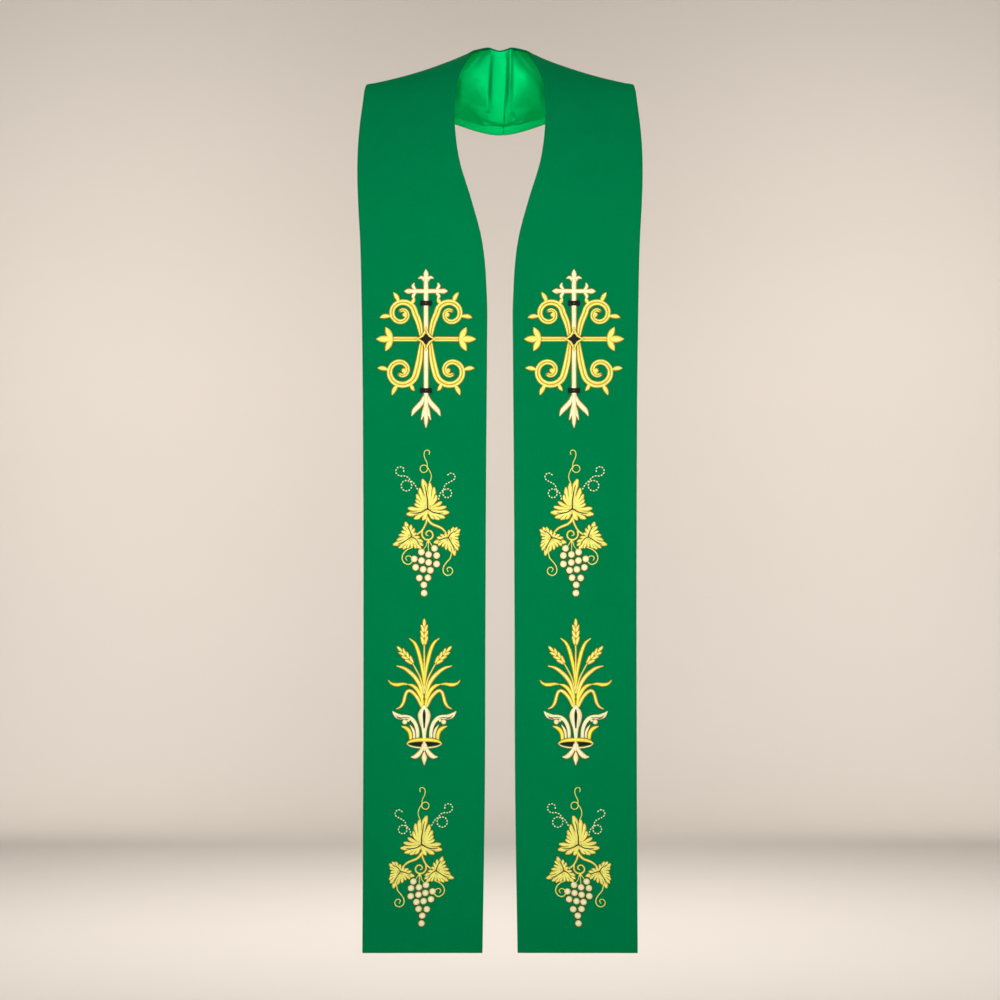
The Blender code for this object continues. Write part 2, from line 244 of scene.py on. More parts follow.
# the sheets of cloth, with pressed edges
face = {
    "thickness": 0.5,
    "roll": 1.1,  # radius of the turned edge
    "turned": math.pi,  # the edge turns right round to the back
    "returned": 1.6,  # and runs in this far behind
    "inset": 0.0,
    "allowance": 8.0,
    "allowanceRise": 0.28,
    "steps": (12.0,),  # rows and columns of points kept at these distances from an edge
    "fine": (),
}
lining = {
    "thickness": 0.4,
    "depth": 2.9,  # from the face's right side, which is the band's own surface
    "roll": 0.5,
    "turned": math.pi / 2,
    "returned": 0.0,
    "inset": 1.3,
    "allowance": 8.0,
    "allowanceRise": 0.35,
    "steps": (20.0, 17.6, 15.8, 14.6, 13.6, 12.6, 11.4),
    "fine": (72.0, 1.6),  # how far from the seam the folds are fine, and the pitch there
}
clothGrid = {
    "pitch": 4.2,
    "interior": 36,  # columns between the two edges' own
    "rollCells": 5,
    "besideAllowance": (1.8, 0.8, 0.0, -0.8, -2.2),  # columns and rows about the allowance's edge
    "besideEdge": (4.2, 2.6),
    "besideSeam": (2.2, 4.0, 6.0, 8.0),
    "seamSamples": 41,
}
pressedEdge = {
    "reach": 2.0,  # how far in from the edge the press shows
    "line": 1.2,  # and how wide the line is over the allowance's edge
    "lineShare": 0.5,
    "step": 1.6,  # the cloth comes down from the allowance over this width
}


def edgeSteps(sheet):  # distances in from an edge, and how far round its roll, from the inside out
    roll = sheet["roll"]
    beside = [sheet["allowance"] + off for off in clothGrid["besideAllowance"]]
    steps = [(place, 0.0) for place in (*sheet["steps"], *beside, *clothGrid["besideEdge"], roll)]
    for k in range(1, clothGrid["rollCells"] + 1):
        steps.append((roll, sheet["turned"] * roll * k / clothGrid["rollCells"]))
    if sheet["returned"]:
        steps.append((roll, sheet["turned"] * roll + sheet["returned"]))
    return steps


def sheetColumns(sheet):  # share of the width, offset, distance round the roll, which edge
    steps = edgeSteps(sheet)
    inset = sheet["inset"]
    columns = [(0.0, inset + place, over, -1) for place, over in reversed(steps)]
    clear = inset + sheet["steps"][0]
    for k in range(1, clothGrid["interior"]):
        share = k / clothGrid["interior"]
        columns.append((share, clear * (1 - 2 * share), 0.0, 0))
    columns += [(1.0, -inset - place, over, 1) for place, over in steps]
    return np.array(columns)


def sheetRows(sheet):  # distance along, distance round the roll, which end
    roll = sheet["roll"]
    *first, start = clothGrid["besideSeam"]
    rows = [(roll, roll * math.pi / 2 * k / 3, -1) for k in (3, 2, 1)]
    rows += [(place, 0, 0) for place in (roll, *first)]
    if sheet["fine"]:
        stop, pitch = sheet["fine"]
        rows += [(place, 0, 0) for place in np.arange(start, stop, pitch)]
        start = stop
    end = hemAt - sheet["inset"] - sheet["steps"][0]
    count = round((end - start) / clothGrid["pitch"])
    rows += [(start + (end - start) * k / count, 0, 0) for k in range(count)]
    rows += [(hemAt - sheet["inset"] - place, over, 1) for place, over in edgeSteps(sheet)]
    return np.array(rows)


def sheetSurface(sheet, side, extraLift):  # every point, its UV and how near a pressed edge it is
    columns, rows = sheetColumns(sheet), sheetRows(sheet)
    roll = sheet["roll"]
    start = rows[:, 0][:, None]
    width = bandWidth(rows[:, 0])[:, None]
    place = columns[:, 0] * width + columns[:, 1]
    overAcross, overAlong = np.broadcast_arrays(columns[:, 2], rows[:, 1][:, None])
    over = np.hypot(overAcross, overAlong)
    shift = np.where(over <= math.pi * roll, roll * np.sin(over / roll), math.pi * roll - over)
    depth = roll * (1 - np.cos(np.minimum(over / roll, math.pi)))
    reach = np.where(over > 0, over, 1)
    place = place + shift * overAcross / reach * columns[:, 3]
    along = start + shift * overAlong / reach * rows[:, 2][:, None]
    across = place / width
    samples = np.linspace(0, 1, clothGrid["seamSamples"])
    seam = np.interp(np.clip(across, 0, 1), samples, seamPlace(side, samples))
    along = along + seam * np.clip(1 - along / cloth["seamEase"], 0, 1)
    fromEdge = np.minimum(np.minimum(place, width - place), hemAt - along) - sheet["inset"]
    fromAllowance = fromEdge - sheet["allowance"]
    stepWidth = pressedEdge["step"]
    rise = sheet["allowanceRise"] * smoothStep((sheet["allowance"] + stepWidth / 2 - fromEdge) / stepWidth)
    if sheet is face:
        lift = rise - depth
    else:
        lift = -sheet["depth"] - rise + depth - extraLift(side, across, along)
    pressed = np.exp(-np.maximum(fromEdge, 0) / pressedEdge["reach"])
    pressed = pressed + pressedEdge["lineShare"] * np.exp(-((fromAllowance / pressedEdge["line"]) ** 2))
    u = columns[:, 0] * width + columns[:, 1] + overAcross * columns[:, 3]
    v = np.broadcast_to(start + overAlong * rows[:, 2][:, None], u.shape)
    return bandPoints(side, across, along, lift), u, v, np.clip(pressed, 0, 1)


def makeSheet(name, sheet, side, extraLift, material):
    points, u, v, pressed = sheetSurface(sheet, side, extraLift)
    rowCount, columnCount = u.shape
    grid = bmesh.new()
    uvLayer = grid.loops.layers.uv.new("weave")
    edgeLayer = grid.verts.layers.float.new("pressed")
    bmesh.ops.create_grid(grid, x_segments=columnCount - 1, y_segments=rowCount - 1, size=0.5)
    where = {}
    for vertex in grid.verts:
        column = round((vertex.co.x + 0.5) * (columnCount - 1))
        row = round((vertex.co.y + 0.5) * (rowCount - 1))
        where[vertex] = (u[row, column] * mm, v[row, column] * mm)
        x, y, z = points[row, column]
        vertex.co = (side * x * mm, y * mm, z * mm)
        vertex[edgeLayer] = pressed[row, column]
    unwrap(grid.faces, uvLayer, where)
    if (side > 0) == (sheet is face):
        bmesh.ops.reverse_faces(grid, faces=grid.faces)
    piece = newPiece(name, meshOf(name, grid), material)
    wall = piece.modifiers.new("wall", "SOLIDIFY")
    wall.thickness = sheet["thickness"] * mm
    wall.offset = -1
    return piece


liningFolds = (
    # across the centre back: x and distance down at each end, half width, height towards the neck,
    # half width on its outer hand
    (-15.5, 10, -18.0, 82, 6.0, 4.2, 27),
    (20.5, 10, 20.0, 84, 7.5, 4.4, 27),
    (-10.5, 14, -12.5, 70, 2.4, -0.7, None),
    (8.6, 14, 6.4, 88, 11, -1.5, 3.0),
    (-68, 30, -67, 96, 8, 6.5, None),
    (68, 30, 67, 96, 8, 6.5, None),
)
hemCreases = (
    # x and distance down at each end, half width, height towards the neck
    (-29, 102.5, 2.0, 106.3, 1.9, -1.3),
    (10.5, 106.3, 29, 102.5, 1.9, -1.3),
    (1.5, 108.2, 8.5, 108.8, 2.6, -1.5),
)
liningCreases = (
    # wearer's side, share across and distance along at each end, half width, height towards the wearer
    ("left", 0.34, 420, 0.40, 760, 7, 0.5),
    ("left", 0.72, 300, 0.66, 560, 8, -0.5),
    ("left", 0.55, 820, 0.48, 1180, 9, 0.5),
    ("left", 0.82, 900, 0.86, 1120, 6, 0.4),
    ("right", 0.62, 380, 0.55, 690, 8, 0.5),
    ("right", 0.22, 460, 0.28, 730, 7, -0.5),
    ("right", 0.44, 860, 0.52, 1240, 9, 0.5),
    ("right", 0.16, 930, 0.13, 1150, 6, 0.4),
)
neckLining = {
    "middle": 4,  # x; the hem and its folds change with the distance from here
    "fade": (80.0, 20.0),  # how far along the neck's folds end, and over what length
    "clear": (2, 12),  # the folds end this far above the hem's edge, over this height
    "ridgeWidth": 6.5,  # the seam allowance, pressed to the wearer's right
    "ridgeRise": 0.6,
    "ridgeEdge": 1.2,
    "deepest": 1.95,  # no crease goes further towards the face
    "hemWidth": (13.6, 8.2),  # at the seam and at the sides
    "hemNarrows": (14, 40),  # from this distance, over this width
    "hemRise": 0.9,
    "hemEdge": 2,  # the rise begins over this height
    "hemDip": 2.3,
    "dipEase": (1.7, 28.0),  # how far above the hem the dip runs out, at the seam and at the sides
    "easeWidens": (24, 22),
}


def towardsSides(x, values, place):  # from the value at the seam to the value at the sides
    start, over = place
    aside = smoothStep((np.abs(x - neckLining["middle"]) - start) / over)
    return values[0] * (1 - aside) + values[1] * aside


def liningLift(side, across, along):  # creases that only the lining has, towards the wearer
    lift = creaseHeight(side, across, along, liningCreases)
    x = side * betweenEdges(across, along)[..., 0]
    down = across * bandWidth(along)
    fromEdge = bandWidth(along) - down
    fadeEnd, fade = neckLining["fade"]
    near = smoothStep((fadeEnd - along) / fade)
    above, clearing = neckLining["clear"]
    clear = near * smoothStep((fromEdge - above) / clearing)
    for x0, down0, x1, down1, halfWidth, rise, outer in liningFolds:
        lift = lift + clear * softRidge(x, down, x0, down0, x1, down1, halfWidth, rise, outer)
    for crease in hemCreases:
        lift = lift + near * softRidge(x, down, *crease)
    if side > 0:
        ridge = (seamLine(across) + neckLining["ridgeWidth"] - x) / neckLining["ridgeEdge"]
        lift = lift + neckLining["ridgeRise"] * smoothStep(ridge)
    hemWidth = towardsSides(x, neckLining["hemWidth"], neckLining["hemNarrows"])
    ease = towardsSides(x, neckLining["dipEase"], neckLining["easeWidens"])
    inHem = np.clip(fromEdge / hemWidth, 0, 1)
    dip = neckLining["hemDip"] * hemWidth / neckLining["hemWidth"][0]
    ramp = smoothStep(fromEdge / neckLining["hemEdge"]) * neckLining["hemRise"] * (1 - inHem) - dip * inHem
    lift = lift + near * ramp * (1 - smoothStep((fromEdge - hemWidth) / ease))
    deepest = neckLining["deepest"]
    return np.where(lift < 0, deepest * np.tanh(lift / deepest), lift)


def newGroup(name, inputs, outputs):  # a shader node group with its sockets
    group = bpy.data.node_groups.new(name, "ShaderNodeTree")
    for label, kind, value in inputs:
        socket = group.interface.new_socket(label, in_out="INPUT", socket_type=kind)
        if value is not None:
            socket.default_value = value
    for label, kind in outputs:
        group.interface.new_socket(label, in_out="OUTPUT", socket_type=kind)
    return group, group.nodes.new("NodeGroupInput").outputs, group.nodes.new("NodeGroupOutput").inputs


def feed(tree, value, socket):
    if isinstance(value, bpy.types.NodeSocket):
        tree.links.new(value, socket)
    else:
        socket.default_value = value


def calc(tree, operation, *values):
    node = tree.nodes.new("ShaderNodeMath")
    node.operation = operation
    for socket, value in zip(node.inputs, values):
        feed(tree, value, socket)
    return node.outputs[0]


def blendOf(tree, share, first, second):
    return calc(tree, "ADD", first, calc(tree, "MULTIPLY", share, calc(tree, "SUBTRACT", second, first)))


def noiseOf(tree, vector, scale, detail):
    node = tree.nodes.new("ShaderNodeTexNoise")
    feed(tree, vector, node.inputs["Vector"])
    feed(tree, scale, node.inputs["Scale"])
    node.inputs["Detail"].default_value = detail
    return node.outputs["Fac"]


def threadBulge(tree, place):  # one rounded thread from each whole number to the next
    return calc(tree, "ABSOLUTE", calc(tree, "SINE", calc(tree, "MULTIPLY", place, math.pi)))


def stretched(tree, vector, x, y, z):
    node = tree.nodes.new("ShaderNodeVectorMath")
    node.operation = "MULTIPLY"
    feed(tree, vector, node.inputs[0])
    node.inputs[1].default_value = (x, y, z)
    return node.outputs[0]


weaveSlubs = {"across": 1500, "along": 60}  # noise steps a metre, over a thread and along it


def plainWeave():  # over-and-under threads on a UV map in metres
    group, given, out = newGroup(
        "plainWeave",
        (("Vector", "NodeSocketVector", None), ("Pitch", "NodeSocketFloat", 0.0005)),
        (("Height", "NodeSocketFloat"), ("Shade", "NodeSocketFloat")),
    )
    parts = group.nodes.new("ShaderNodeSeparateXYZ")
    feed(group, given["Vector"], parts.inputs[0])
    across = calc(group, "DIVIDE", parts.outputs["X"], given["Pitch"])
    along = calc(group, "DIVIDE", parts.outputs["Y"], given["Pitch"])
    cells = calc(group, "ADD", calc(group, "FLOOR", across), calc(group, "FLOOR", along))
    over = calc(group, "FLOORED_MODULO", cells, 2.0)
    warp, weft = threadBulge(group, across), threadBulge(group, along)
    bulge = blendOf(group, over, warp, weft)
    crest = blendOf(group, over, weft, warp)
    feed(group, calc(group, "MULTIPLY", bulge, calc(group, "MULTIPLY_ADD", crest, 0.5, 0.5)), out["Height"])
    fine, long = weaveSlubs["across"], weaveSlubs["along"]
    warpSlub = noiseOf(group, stretched(group, given["Vector"], fine, long, 0), 1.0, 1.0)
    weftSlub = noiseOf(group, stretched(group, given["Vector"], long, fine, 0), 1.0, 1.0)
    feed(group, blendOf(group, over, warpSlub, weftSlub), out["Shade"])
    return group


threadChange = {"along": 300.0, "apart": 0.73}  # noise steps a metre along a thread, and from one to the next


def threadLines():  # parallel threads, slanting across a UV map in metres
    group, given, out = newGroup(
        "threadLines",
        (
            ("Vector", "NodeSocketVector", None),
            ("Pitch", "NodeSocketFloat", 0.0004),
            ("Slant", "NodeSocketFloat", 0.3),
        ),
        (("Height", "NodeSocketFloat"), ("Shade", "NodeSocketFloat")),
    )
    parts = group.nodes.new("ShaderNodeSeparateXYZ")
    feed(group, given["Vector"], parts.inputs[0])
    place = calc(group, "MULTIPLY_ADD", parts.outputs["X"], given["Slant"], parts.outputs["Y"])
    thread = calc(group, "DIVIDE", place, given["Pitch"])
    feed(group, threadBulge(group, thread), out["Height"])
    number = calc(group, "FLOOR", thread)
    coordinates = group.nodes.new("ShaderNodeCombineXYZ")
    feed(group, calc(group, "MULTIPLY", parts.outputs["X"], threadChange["along"]), coordinates.inputs[0])
    feed(group, calc(group, "MULTIPLY", number, threadChange["apart"]), coordinates.inputs[1])
    feed(group, noiseOf(group, coordinates.outputs[0], 1.0, 1.0), out["Shade"])
    return group


def unevenDye():  # slow changes of depth in a colour
    group, given, out = newGroup(
        "unevenDye",
        (
            ("Colour", "NodeSocketColor", (0.5, 0.5, 0.5, 1)),
            ("Vector", "NodeSocketVector", None),
            ("Size", "NodeSocketFloat", 0.03),
            ("Threads", "NodeSocketFloat", 0.5),
            ("Thread Depth", "NodeSocketFloat", 0.1),
            ("Cloud Depth", "NodeSocketFloat", 0.05),
        ),
        (("Colour", "NodeSocketColor"), ("Cloud", "NodeSocketFloat")),
    )
    cloud = noiseOf(group, given["Vector"], calc(group, "DIVIDE", 1.0, given["Size"]), 3.0)
    threads = calc(group, "MULTIPLY", calc(group, "SUBTRACT", given["Threads"], 0.5), given["Thread Depth"])
    clouds = calc(group, "MULTIPLY", calc(group, "SUBTRACT", cloud, 0.5), given["Cloud Depth"])
    level = calc(group, "ADD", 1.0, calc(group, "MULTIPLY", 2.0, calc(group, "ADD", threads, clouds)))
    mixed = group.nodes.new("ShaderNodeVectorMath")
    mixed.operation = "SCALE"
    feed(group, given["Colour"], mixed.inputs[0])
    feed(group, level, mixed.inputs["Scale"])
    feed(group, mixed.outputs[0], out["Colour"])
    feed(group, cloud, out["Cloud"])
    return group


groups = {"plainWeave": plainWeave(), "threadLines": threadLines(), "unevenDye": unevenDye()}


def useGroup(tree, name, **values):
    node = tree.nodes.new("ShaderNodeGroup")
    node.node_tree = groups[name]
    for label, value in values.items():
        feed(tree, value, node.inputs[label.replace("_", " ")])
    return node.outputs


def newMaterial(name, look):
    material = bpy.data.materials.new(name)
    material.use_nodes = True
    material.diffuse_color = (*look["colour"], 1)
    tree = material.node_tree
    shader = tree.nodes["Principled BSDF"]
    shader.inputs["Roughness"].default_value = look["roughness"]
    shader.inputs["Metallic"].default_value = look.get("metallic", 0.0)
    shader.inputs["Specular IOR Level"].default_value = look["specular"]
    shader.inputs["Specular Tint"].default_value = (*look.get("specularTint", (1, 1, 1)), 1)
    shader.inputs["Sheen Weight"].default_value = look.get("sheen", 0.0)
    shader.inputs["Sheen Tint"].default_value = (*look.get("sheenTint", (1, 1, 1)), 1)
    return material, tree, shader


def surfaceOf(tree, uvName, maskName):  # the piece's UV map, its Object coordinates and its own mask
    uv = tree.nodes.new("ShaderNodeUVMap")
    uv.uv_map = uvName
    place = tree.nodes.new("ShaderNodeTexCoord")
    mask = tree.nodes.new("ShaderNodeAttribute")
    mask.attribute_name = maskName
    return uv.outputs[0], place.outputs["Object"], mask.outputs["Fac"]


def dyed(tree, shader, look, colour, place, threads):  # colours the shader, and puts out the dye's clouds
    dye = useGroup(
        tree, "unevenDye", Colour=colour, Vector=place, Size=look["cloudSize"], Threads=threads,
        Thread_Depth=look["threadDepth"], Cloud_Depth=look["cloudDepth"],
    )
    feed(tree, dye["Colour"], shader.inputs["Base Color"])
    return dye["Cloud"]


def bumpTo(tree, height, distance, shader):
    bump = tree.nodes.new("ShaderNodeBump")
    bump.inputs["Strength"].default_value = 1.0
    bump.inputs["Distance"].default_value = distance
    feed(tree, height, bump.inputs["Height"])
    feed(tree, bump.outputs["Normal"], shader.inputs["Normal"])


faceLook = {
    "colour": (0.0, 0.187, 0.0590),
    "roughness": 0.86,
    "pressedShine": -0.14,  # what a pressed edge adds to it
    "specular": 0.03,
    "specularTint": (0.0, 1.0, 0.4),
    "sheen": 0.06,
    "sheenTint": (0.0, 0.6, 0.25),
    "cloudSize": 0.035,
    "cloudDepth": 0.05,
    "threadDepth": 0.16,
    "weave": 0.00048,
    "bump": 0.00009,
    "slub": 0.6,
}
liningLook = {
    "colour": (0.0, 0.570, 0.150),
    "roughness": 0.43,
    "clouding": 0.12,
    "pressedDulling": 0.05,
    "metallic": 0.9,
    "specular": 0.3,
    "specularTint": (0.0, 1.0, 0.35),
    "cloudSize": 0.05,
    "cloudDepth": 0.05,
    "threadDepth": 0.08,
    "weave": 0.00030,
    "slant": 0.05,
    "bump": 0.00003,
    "pucker": 6.0,
    "puckerSteps": (90, 90, 22),  # a metre
}


def faceMaterial():
    material, tree, shader = newMaterial("vestmentCloth", faceLook)
    uv, place, pressed = surfaceOf(tree, "weave", "pressed")
    weave = useGroup(tree, "plainWeave", Vector=uv, Pitch=faceLook["weave"])
    dyed(tree, shader, faceLook, (*faceLook["colour"], 1), place, weave["Shade"])
    roughness = calc(tree, "MULTIPLY_ADD", pressed, faceLook["pressedShine"], faceLook["roughness"])
    feed(tree, roughness, shader.inputs["Roughness"])
    height = calc(tree, "MULTIPLY_ADD", weave["Shade"], faceLook["slub"], weave["Height"])
    bumpTo(tree, height, faceLook["bump"], shader)
    return material


def liningMaterial():
    material, tree, shader = newMaterial("liningSatin", liningLook)
    uv, place, pressed = surfaceOf(tree, "weave", "pressed")
    floats = useGroup(tree, "threadLines", Vector=uv, Pitch=liningLook["weave"], Slant=liningLook["slant"])
    cloud = dyed(tree, shader, liningLook, (*liningLook["colour"], 1), place, floats["Shade"])
    clouding = liningLook["clouding"]
    worn = calc(tree, "MULTIPLY_ADD", cloud, clouding, liningLook["roughness"] - clouding / 2)
    roughness = calc(tree, "MULTIPLY_ADD", pressed, liningLook["pressedDulling"], worn)
    feed(tree, roughness, shader.inputs["Roughness"])
    pucker = noiseOf(tree, stretched(tree, place, *liningLook["puckerSteps"]), 1.0, 2.0)
    height = calc(tree, "MULTIPLY_ADD", pucker, liningLook["pucker"], floats["Height"])
    bumpTo(tree, height, liningLook["bump"], shader)
    return material


everyThread = {
    "bump": 0.00010,
    "paintedCrestLightPower": 1.4,  # how fast the painted shade at a pad's sides turns to the painted highlight at its crest
    "cloudSize": 0.008,
    "cloudDepth": 0.05,
    "smoother": 0.07,  # the smoothest threads, below the roughness given
    "rougher": 0.15,  # from these to the roughest
}
brightThread = {
    **everyThread, "metallic": 0.1, "roughness": 0.34, "specular": 0.55, "specularTint": (1.0, 0.95, 0.7),
    "pitch": 0.00045, "slant": 0.35, "threadDepth": 0.10,
}
darkThread = {**everyThread, "specular": 0.25, "pitch": 0.0004, "slant": 0.6}
threadLooks = {
    # a pad's crest takes its colour as a painted highlight, and its sides take the deeper colour as painted
    # shade
    "gold": {
        **brightThread, "colour": (0.94, 0.91, 0.20), "sides": (0.78, 0.62, 0.05),
    },
    "yellow": {
        **brightThread, "colour": (0.96, 0.93, 0.10), "sides": (0.82, 0.64, 0.02),
        "specularTint": (1.0, 0.95, 0.6),
    },
    "cream": {
        **brightThread, "colour": (0.95, 0.96, 0.57), "sides": (0.80, 0.70, 0.28), "metallic": 0.05,
        "roughness": 0.36, "specularTint": (1.0, 0.97, 0.85), "slant": 0.25, "threadDepth": 0.08,
    },
    "amber": {
        **darkThread, "colour": (0.62, 0.30, 0.03), "sides": (0.42, 0.16, 0.012), "metallic": 0.1,
        "roughness": 0.45, "specular": 0.3, "specularTint": (1.0, 0.8, 0.4), "threadDepth": 0.15,
    },
    "brown": {
        **darkThread, "colour": (0.17, 0.070, 0.014), "sides": (0.11, 0.042, 0.008), "roughness": 0.5,
        "specularTint": (1.0, 0.8, 0.5), "threadDepth": 0.2,
    },
    "black": {
        **darkThread, "colour": (0.006, 0.006, 0.007), "sides": (0.004, 0.004, 0.005), "roughness": 0.45,
        "pitch": 0.00045, "slant": 0.3, "bump": 0.00012, "threadDepth": 0.3,
    },
}


def threadMaterial(name, look):
    material, tree, shader = newMaterial(f"{name}Thread", look)
    uv, place, crest = surfaceOf(tree, "stitches", "crest")
    # the thread's colour, painted lighter on a pad's crest and darker down its sides: painted highlight and
    # painted shade
    paintedShading = tree.nodes.new("ShaderNodeMix")
    paintedShading.data_type = "RGBA"
    feed(tree, calc(tree, "POWER", crest, look["paintedCrestLightPower"]), paintedShading.inputs[0])
    paintedShading.inputs[6].default_value = (*look["sides"], 1)
    paintedShading.inputs[7].default_value = (*look["colour"], 1)
    threads = useGroup(tree, "threadLines", Vector=uv, Pitch=look["pitch"], Slant=look["slant"])
    dyed(tree, shader, look, paintedShading.outputs[2], place, threads["Shade"])
    smoothest = look["roughness"] - look["smoother"]
    roughness = calc(tree, "MULTIPLY_ADD", threads["Shade"], look["rougher"], smoothest)
    feed(tree, roughness, shader.inputs["Roughness"])
    bumpTo(tree, threads["Height"], look["bump"], shader)
    return material


materials = {"face": faceMaterial(), "lining": liningMaterial()}
for threadName, threadLook in threadLooks.items():
    materials[threadName] = threadMaterial(threadName, threadLook)
print("materials:", len(materials))

pieces = {}  # what was made on each side
for sideName, side in sides.items():
    bandSize = (0.1665, (hemAt + 5) * mm)
    faceName, liningName = f"faceCloth{sideName.title()}", f"liningSatin{sideName.title()}"
    facePiece = makeSheet(faceName, face, side, None, materials["face"])
    liningPiece = makeSheet(liningName, lining, side, liningLift, materials["lining"])
    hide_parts(f"face_{sideName}")
    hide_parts(f"lining_{sideName}")
    for piece in (facePiece, liningPiece):
        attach(piece, "root")
    pieces[sideName] = {"face": facePiece, "lining": liningPiece, "trims": [], "size": bandSize}
print("cloth sheets made")

seamThreads = {
    # piece, depth under the right side, thickness
    "faceSeamThread": (0.75, 0.8),
    "liningSeamThread": (lining["depth"] - 0.45, 0.7),
}
seamThread = {"ring": 9, "rows": 61, "start": 0.012, "end": 0.988}  # its ends are shares of the width


def makeSeamThread(name, depth, thickness, material):  # the centre-back seam's thread, deep in the groove
    ring, rowCount = seamThread["ring"], seamThread["rows"]
    across = np.linspace(seamThread["start"], seamThread["end"], rowCount)
    middle = bandPoints(1, across, seamPlace(1, across), -depth)
    ahead = np.gradient(middle, axis=0)
    ahead /= np.linalg.norm(ahead, axis=1)[:, None]
    outward = bandPoints(1, across, seamPlace(1, across), -depth + 1) - middle
    sideways = np.cross(ahead, outward)
    sideways /= np.linalg.norm(sideways, axis=1)[:, None]
    shape = bmesh.new()
    uvLayer = shape.loops.layers.uv.new("weave")
    bmesh.ops.create_grid(shape, x_segments=ring - 1, y_segments=rowCount + 1, size=0.5)
    where = {}
    for vertex in shape.verts:
        j = round((vertex.co.x + 0.5) * (ring - 1))
        i = round((vertex.co.y + 0.5) * (rowCount + 1))
        k = min(max(i - 1, 0), rowCount - 1)
        radius = thickness / 2 * (i == k + 1)  # the first and last rows close the ends
        turn = 2 * math.pi * (j % (ring - 1)) / (ring - 1)
        point = middle[k] + (outward[k] * math.cos(turn) + sideways[k] * math.sin(turn)) * radius
        vertex.co = tuple(point * mm)
        where[vertex] = (turn * thickness / 2 * mm, across[k] * cloth["usualWidth"] * mm)
    unwrap(shape.faces, uvLayer, where)
    bmesh.ops.remove_doubles(shape, verts=shape.verts, dist=1e-6)
    bmesh.ops.recalc_face_normals(shape, faces=shape.faces)
    piece = newPiece(name, meshOf(name, shape), material)
    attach(piece, "root")


for threadName, (depth, thickness) in seamThreads.items():
    ownCloth = "face" if threadName.startswith("face") else "lining"
    makeSeamThread(threadName, depth, thickness, materials[ownCloth])
print("centre-back seam sewn")

# the embroidery is drawn flat first: x to the viewer's right, z up, heights towards the viewer
sewing = {
    "cells": 6,  # across a pad
    "step": 1.25,  # along it
    "thinnest": 0.2,
    "edge": 0.7,  # the outline's width
    "edgeCrown": 0.42,
    "edgeCells": 4,
    "edgeStep": 1.5625,
    "tuck": 0.05,  # the outline lies this far below its layer, and the pad this far above
    "rise": 0.45,  # from one layer to the next
    "edgeLeast": 0.2,  # the outline's share under the thinnest line
    "edgeFullAt": 3.2,  # it grows to the whole with the line's width over this
    "merge": 0.0005,
    "ground": -0.12,  # where every stitch begins, just inside the cloth
    "strokeCells": 5,
    "strokeThinnest": 0.3,
    "crown": 0.8,
    "dome": 0.75,  # lower is fuller
    "slope": 0.55,  # the crown is at most this share of the width
}
caps = (0.0, 0.55, 0.88)  # widths of a rounded end
discs = {
    "edge": 0.8,  # the outline's width
    "edgeCrown": 0.4,
    "edgeCells": (18, 6),  # round it, and from pole to pole
    "cells": (20, 10),
    "dip": 0.35,  # of the crown, at its middle
    "dipWidth": 0.06,
    "dipShade": 0.45,
    "crest": (1.3, 1.5),  # how the painted highlight begins at the crest, and how fast it turns to painted shade towards the rim
}


def smoothLine(points, cells=5):  # more points on a smooth curve through these
    table = np.array(points, float)
    ends = np.vstack((2 * table[0] - table[1], table, 2 * table[-1] - table[-2]))
    line = [table[0]]
    for p0, p1, p2, p3 in zip(ends, ends[1:], ends[2:], ends[3:]):
        for k in range(1, cells + 1):
            t = k / cells
            bend = (2 * p0 - 5 * p1 + 4 * p2 - p3) * t * t + (3 * p1 - p0 - 3 * p2 + p3) * t**3
            line.append(p1 + ((p2 - p0) * t + bend) / 2)
    return np.array(line)


def distancesOn(line):  # from its start to each of its points
    return np.concatenate(([0], np.cumsum(np.hypot(*np.diff(line[:, :2], axis=0).T))))


def evenLine(points, step):  # the same curve with its points a step apart
    line = smoothLine(points)
    far = distancesOn(line)
    at = np.linspace(0, far[-1], max(3, round(far[-1] / step)) + 1)
    even = np.column_stack([np.interp(at, far, line[:, k]) for k in range(3)])
    even[:, 2] = np.maximum(even[:, 2], sewing["thinnest"])
    return even


def headingsOf(line):  # the line's directions, and those to their left
    headings = np.gradient(line[:, :2], axis=0)
    headings /= np.linalg.norm(headings, axis=1)[:, None]
    return headings, np.column_stack((-headings[:, 1], headings[:, 0]))


def newWork():  # an empty mesh for each thread
    work = {}
    for name in threadLooks:
        shape = bmesh.new()
        uvLayer = shape.loops.layers.uv.new("stitches")
        # each thread also carries a mask of painted highlight on a pad's crest and painted shade down its
        # sides
        work[name] = (shape, uvLayer, shape.verts.layers.float.new("crest"))
    return work


